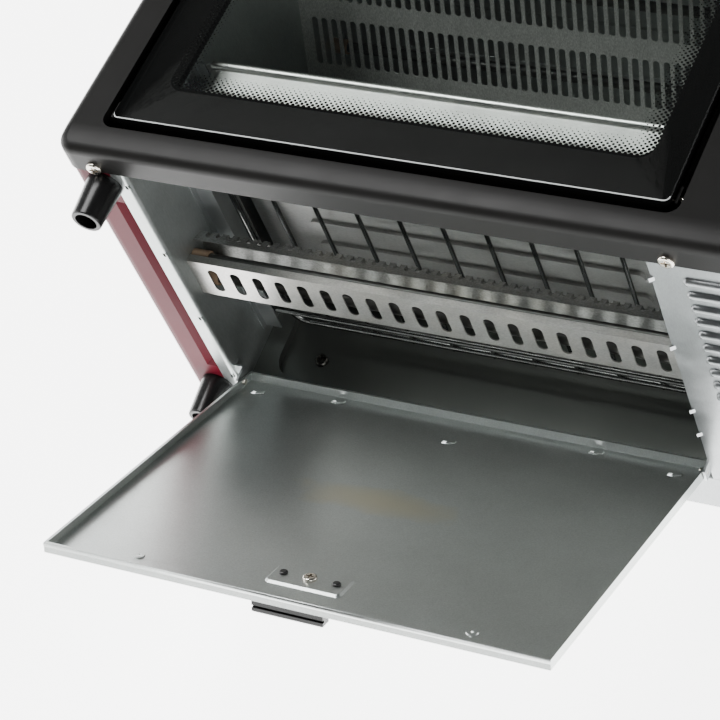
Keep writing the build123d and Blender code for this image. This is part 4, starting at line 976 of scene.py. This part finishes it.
@dataclass
class CrumbDoor:
    """Shallow sheet pan with its catch, swung down below the cavity."""

    sheet: Finish = CrumbSheet(
        "crumb_door_zinc", (0.54, 0.57, 0.555), (0.60, 0.63, 0.615), roughness=0.33, metallic=1.0,
        speckle=0.25, roughness_change=0.02, grain_size=0.0009, grain_depth=0.00003, cloud_size=0.05,
    )
    catch: Finish = Finish(
        "catch_black_plastic", (0.007, 0.007, 0.007), (0.010, 0.010, 0.010), roughness=0.33,
        grain_size=0.0007, grain_depth=0.000015, cloud_size=0.01,
    )

    rim_softness: float = 0.0004
    hem_height: float = 0.0030
    hem_bulge: float = 0.0006
    hem_sunk: float = 0.0001

    def build(self) -> None:
        """Dresses the crumb door."""
        sheet = dress_all(["crumb_door_tray"], self.sheet)
        soften_edges(["crumb_door_tray"], self.rim_softness)
        self.roll_hem(sheet)
        dress_all(["crumb_catch"], self.catch)

    def roll_hem(self, sheet: bpy.types.Material) -> None:
        """Rolls the sheet's hem over the outer face of the front rim.

        Args:
            sheet: The door's finish.
        """
        along, up = crumb_directions()
        places = [vertex.co for vertex in frame["nodes"]["crumb_door_tray"].data.vertices]
        front = max(place.dot(along) for place in places) - self.hem_sunk
        top = max(place.dot(up) for place in places)
        middle = along * front + up * (top - self.hem_height / 2)
        sides = [place.x for place in places]
        ends = (middle + Vector((min(sides), 0.0, 0.0)), middle + Vector((max(sides), 0.0, 0.0)))
        work = bmesh.new()
        add_roll(work, ends, along * self.hem_bulge, up * self.hem_height / 2)
        mesh = finished_mesh("crumb_door_hem", work)
        add_piece("crumb_door_hem", mesh, sheet, Body.CRUMB_DOOR)


@dataclass
class ControlPanel:
    """Gloss panel, knobs, their printed dials and the parts behind them."""

    gloss: Finish = Finish(
        "panel_gloss_black", (0.006, 0.006, 0.006), (0.008, 0.008, 0.008), roughness=0.12,
        roughness_change=0.02, grain_depth=0.000004, cloud_size=0.05,
    )
    knob: Finish = Finish(
        "knob_black_plastic", (0.011, 0.011, 0.011), (0.015, 0.015, 0.015), roughness=0.38,
        grain_size=0.0008, grain_depth=0.00002, cloud_size=0.02,
    )
    pale: Finish = Finish(
        "pale_moulding", (0.60, 0.57, 0.50), (0.66, 0.63, 0.56), roughness=0.5, cloud_size=0.02,
    )
    ink: Finish = Finish(
        "panel_white_ink", (0.62, 0.62, 0.60), (0.68, 0.68, 0.66), roughness=0.5, cloud_size=0.01,
    )
    lens: Finish = LampLens(
        "amber_lens", (0.80, 0.25, 0.03), (0.75, 0.22, 0.03), roughness=0.12, roughness_change=0.02,
        cloud_size=0.01,
    )
    dials: dict = field(default_factory=lambda: {
        Dial.THERMOSTAT: (Body.THERMOSTAT, ("0", "100", "150", "180", "200", "230")),
        Dial.SELECTOR: (Body.SELECTOR, ("0", "1", "2", "3")),
        Dial.TIMER: (Body.TIMER, ("0", "15", "30", "45", "60")),
    })
    number_radius: float = 0.0259
    number_size: float = 0.0048
    tick_reach: Tuple[float, float] = (0.0203, 0.0226)
    tick_width: float = 0.0005
    pointer_reach: Tuple[float, float] = (0.0060, 0.0145)
    pointer_width: float = 0.0012
    ink_depth: float = 0.0001

    def build(self) -> None:
        """Dresses the panel and prints its dials."""
        dress_all(["control_fascia"], self.gloss)
        dress_all(["thermostat_unit", "selector_unit", "terminal_block", "thermostat_shaft", "selector_shaft",
                   "timer_shaft"], self.pale)
        dress_all([dial.value + "_knob" for dial in Dial], self.knob)
        dress_all(["pilot_lamp"], self.lens)
        dress_all(["door_frame"], Casing().frame_black)
        ink = self.ink.make()
        for dial, (body, labels) in self.dials.items():
            self.print_scale(dial, labels, ink)
            self.mark_knob(dial, body, ink)

    def print_scale(self, dial: Dial, labels: Sequence[str], ink: bpy.types.Material) -> None:
        """Prints one dial's ticks and numbers on the panel.

        Args:
            dial: The dial.
            labels: Its numbers, clockwise from the top.
            ink: Their finish.
        """
        turn = joint(dial.value + "_turn")
        centre = FRONT.local(Vector(turn["pos_m"]))
        surface = highest_out("control_fascia")
        work = bmesh.new()
        for index, label in enumerate(labels):
            angle = math.radians(turn["range_deg"][1]) * index / (len(labels) - 1)
            spoke = Matrix.Rotation(-angle, 4, "Z")
            place = FRONT.matrix(centre.x, centre.y, surface)
            add_rounded_bar(work, place @ spoke, self.tick_reach, self.tick_width, self.ink_depth)
            reach = Vector((math.sin(angle), math.cos(angle), 0.0)) * self.number_radius
            add_number(work, place @ Matrix.Translation(reach), label, self.number_size, self.ink_depth)
        add_piece(dial.value + "_scale", finished_mesh(dial.value + "_scale", work, False), ink,
                  Body.CASING)

    def mark_knob(self, dial: Dial, body: Body, ink: bpy.types.Material) -> None:
        """Inlays the white line on a knob's ridge.

        Args:
            dial: The dial.
            body: The body that the knob turns with.
            ink: The line's finish.
        """
        centre = FRONT.local(Vector(joint(dial.value + "_turn")["pos_m"]))
        place = FRONT.matrix(centre.x, centre.y, highest_out(dial.value + "_knob"))
        work = bmesh.new()
        add_rounded_bar(work, place, self.pointer_reach, self.pointer_width, self.ink_depth)
        add_piece(dial.value + "_pointer_line", finished_mesh(dial.value + "_pointer_line", work, False), ink,
                  body)


def main() -> None:
    """Builds the set and dresses the oven, one sub-assembly after another."""
    logging.basicConfig(level=logging.INFO, format="%(message)s")
    parts = (Studio(), Casing(), Cavity(), Heating(), Shelves(), GlassDoor(), CrumbDoor(), ControlPanel())
    for part in parts:
        log.info("sub-assembly %s", type(part).__name__)
        part.build()


if __name__ == "__main__":
    main()
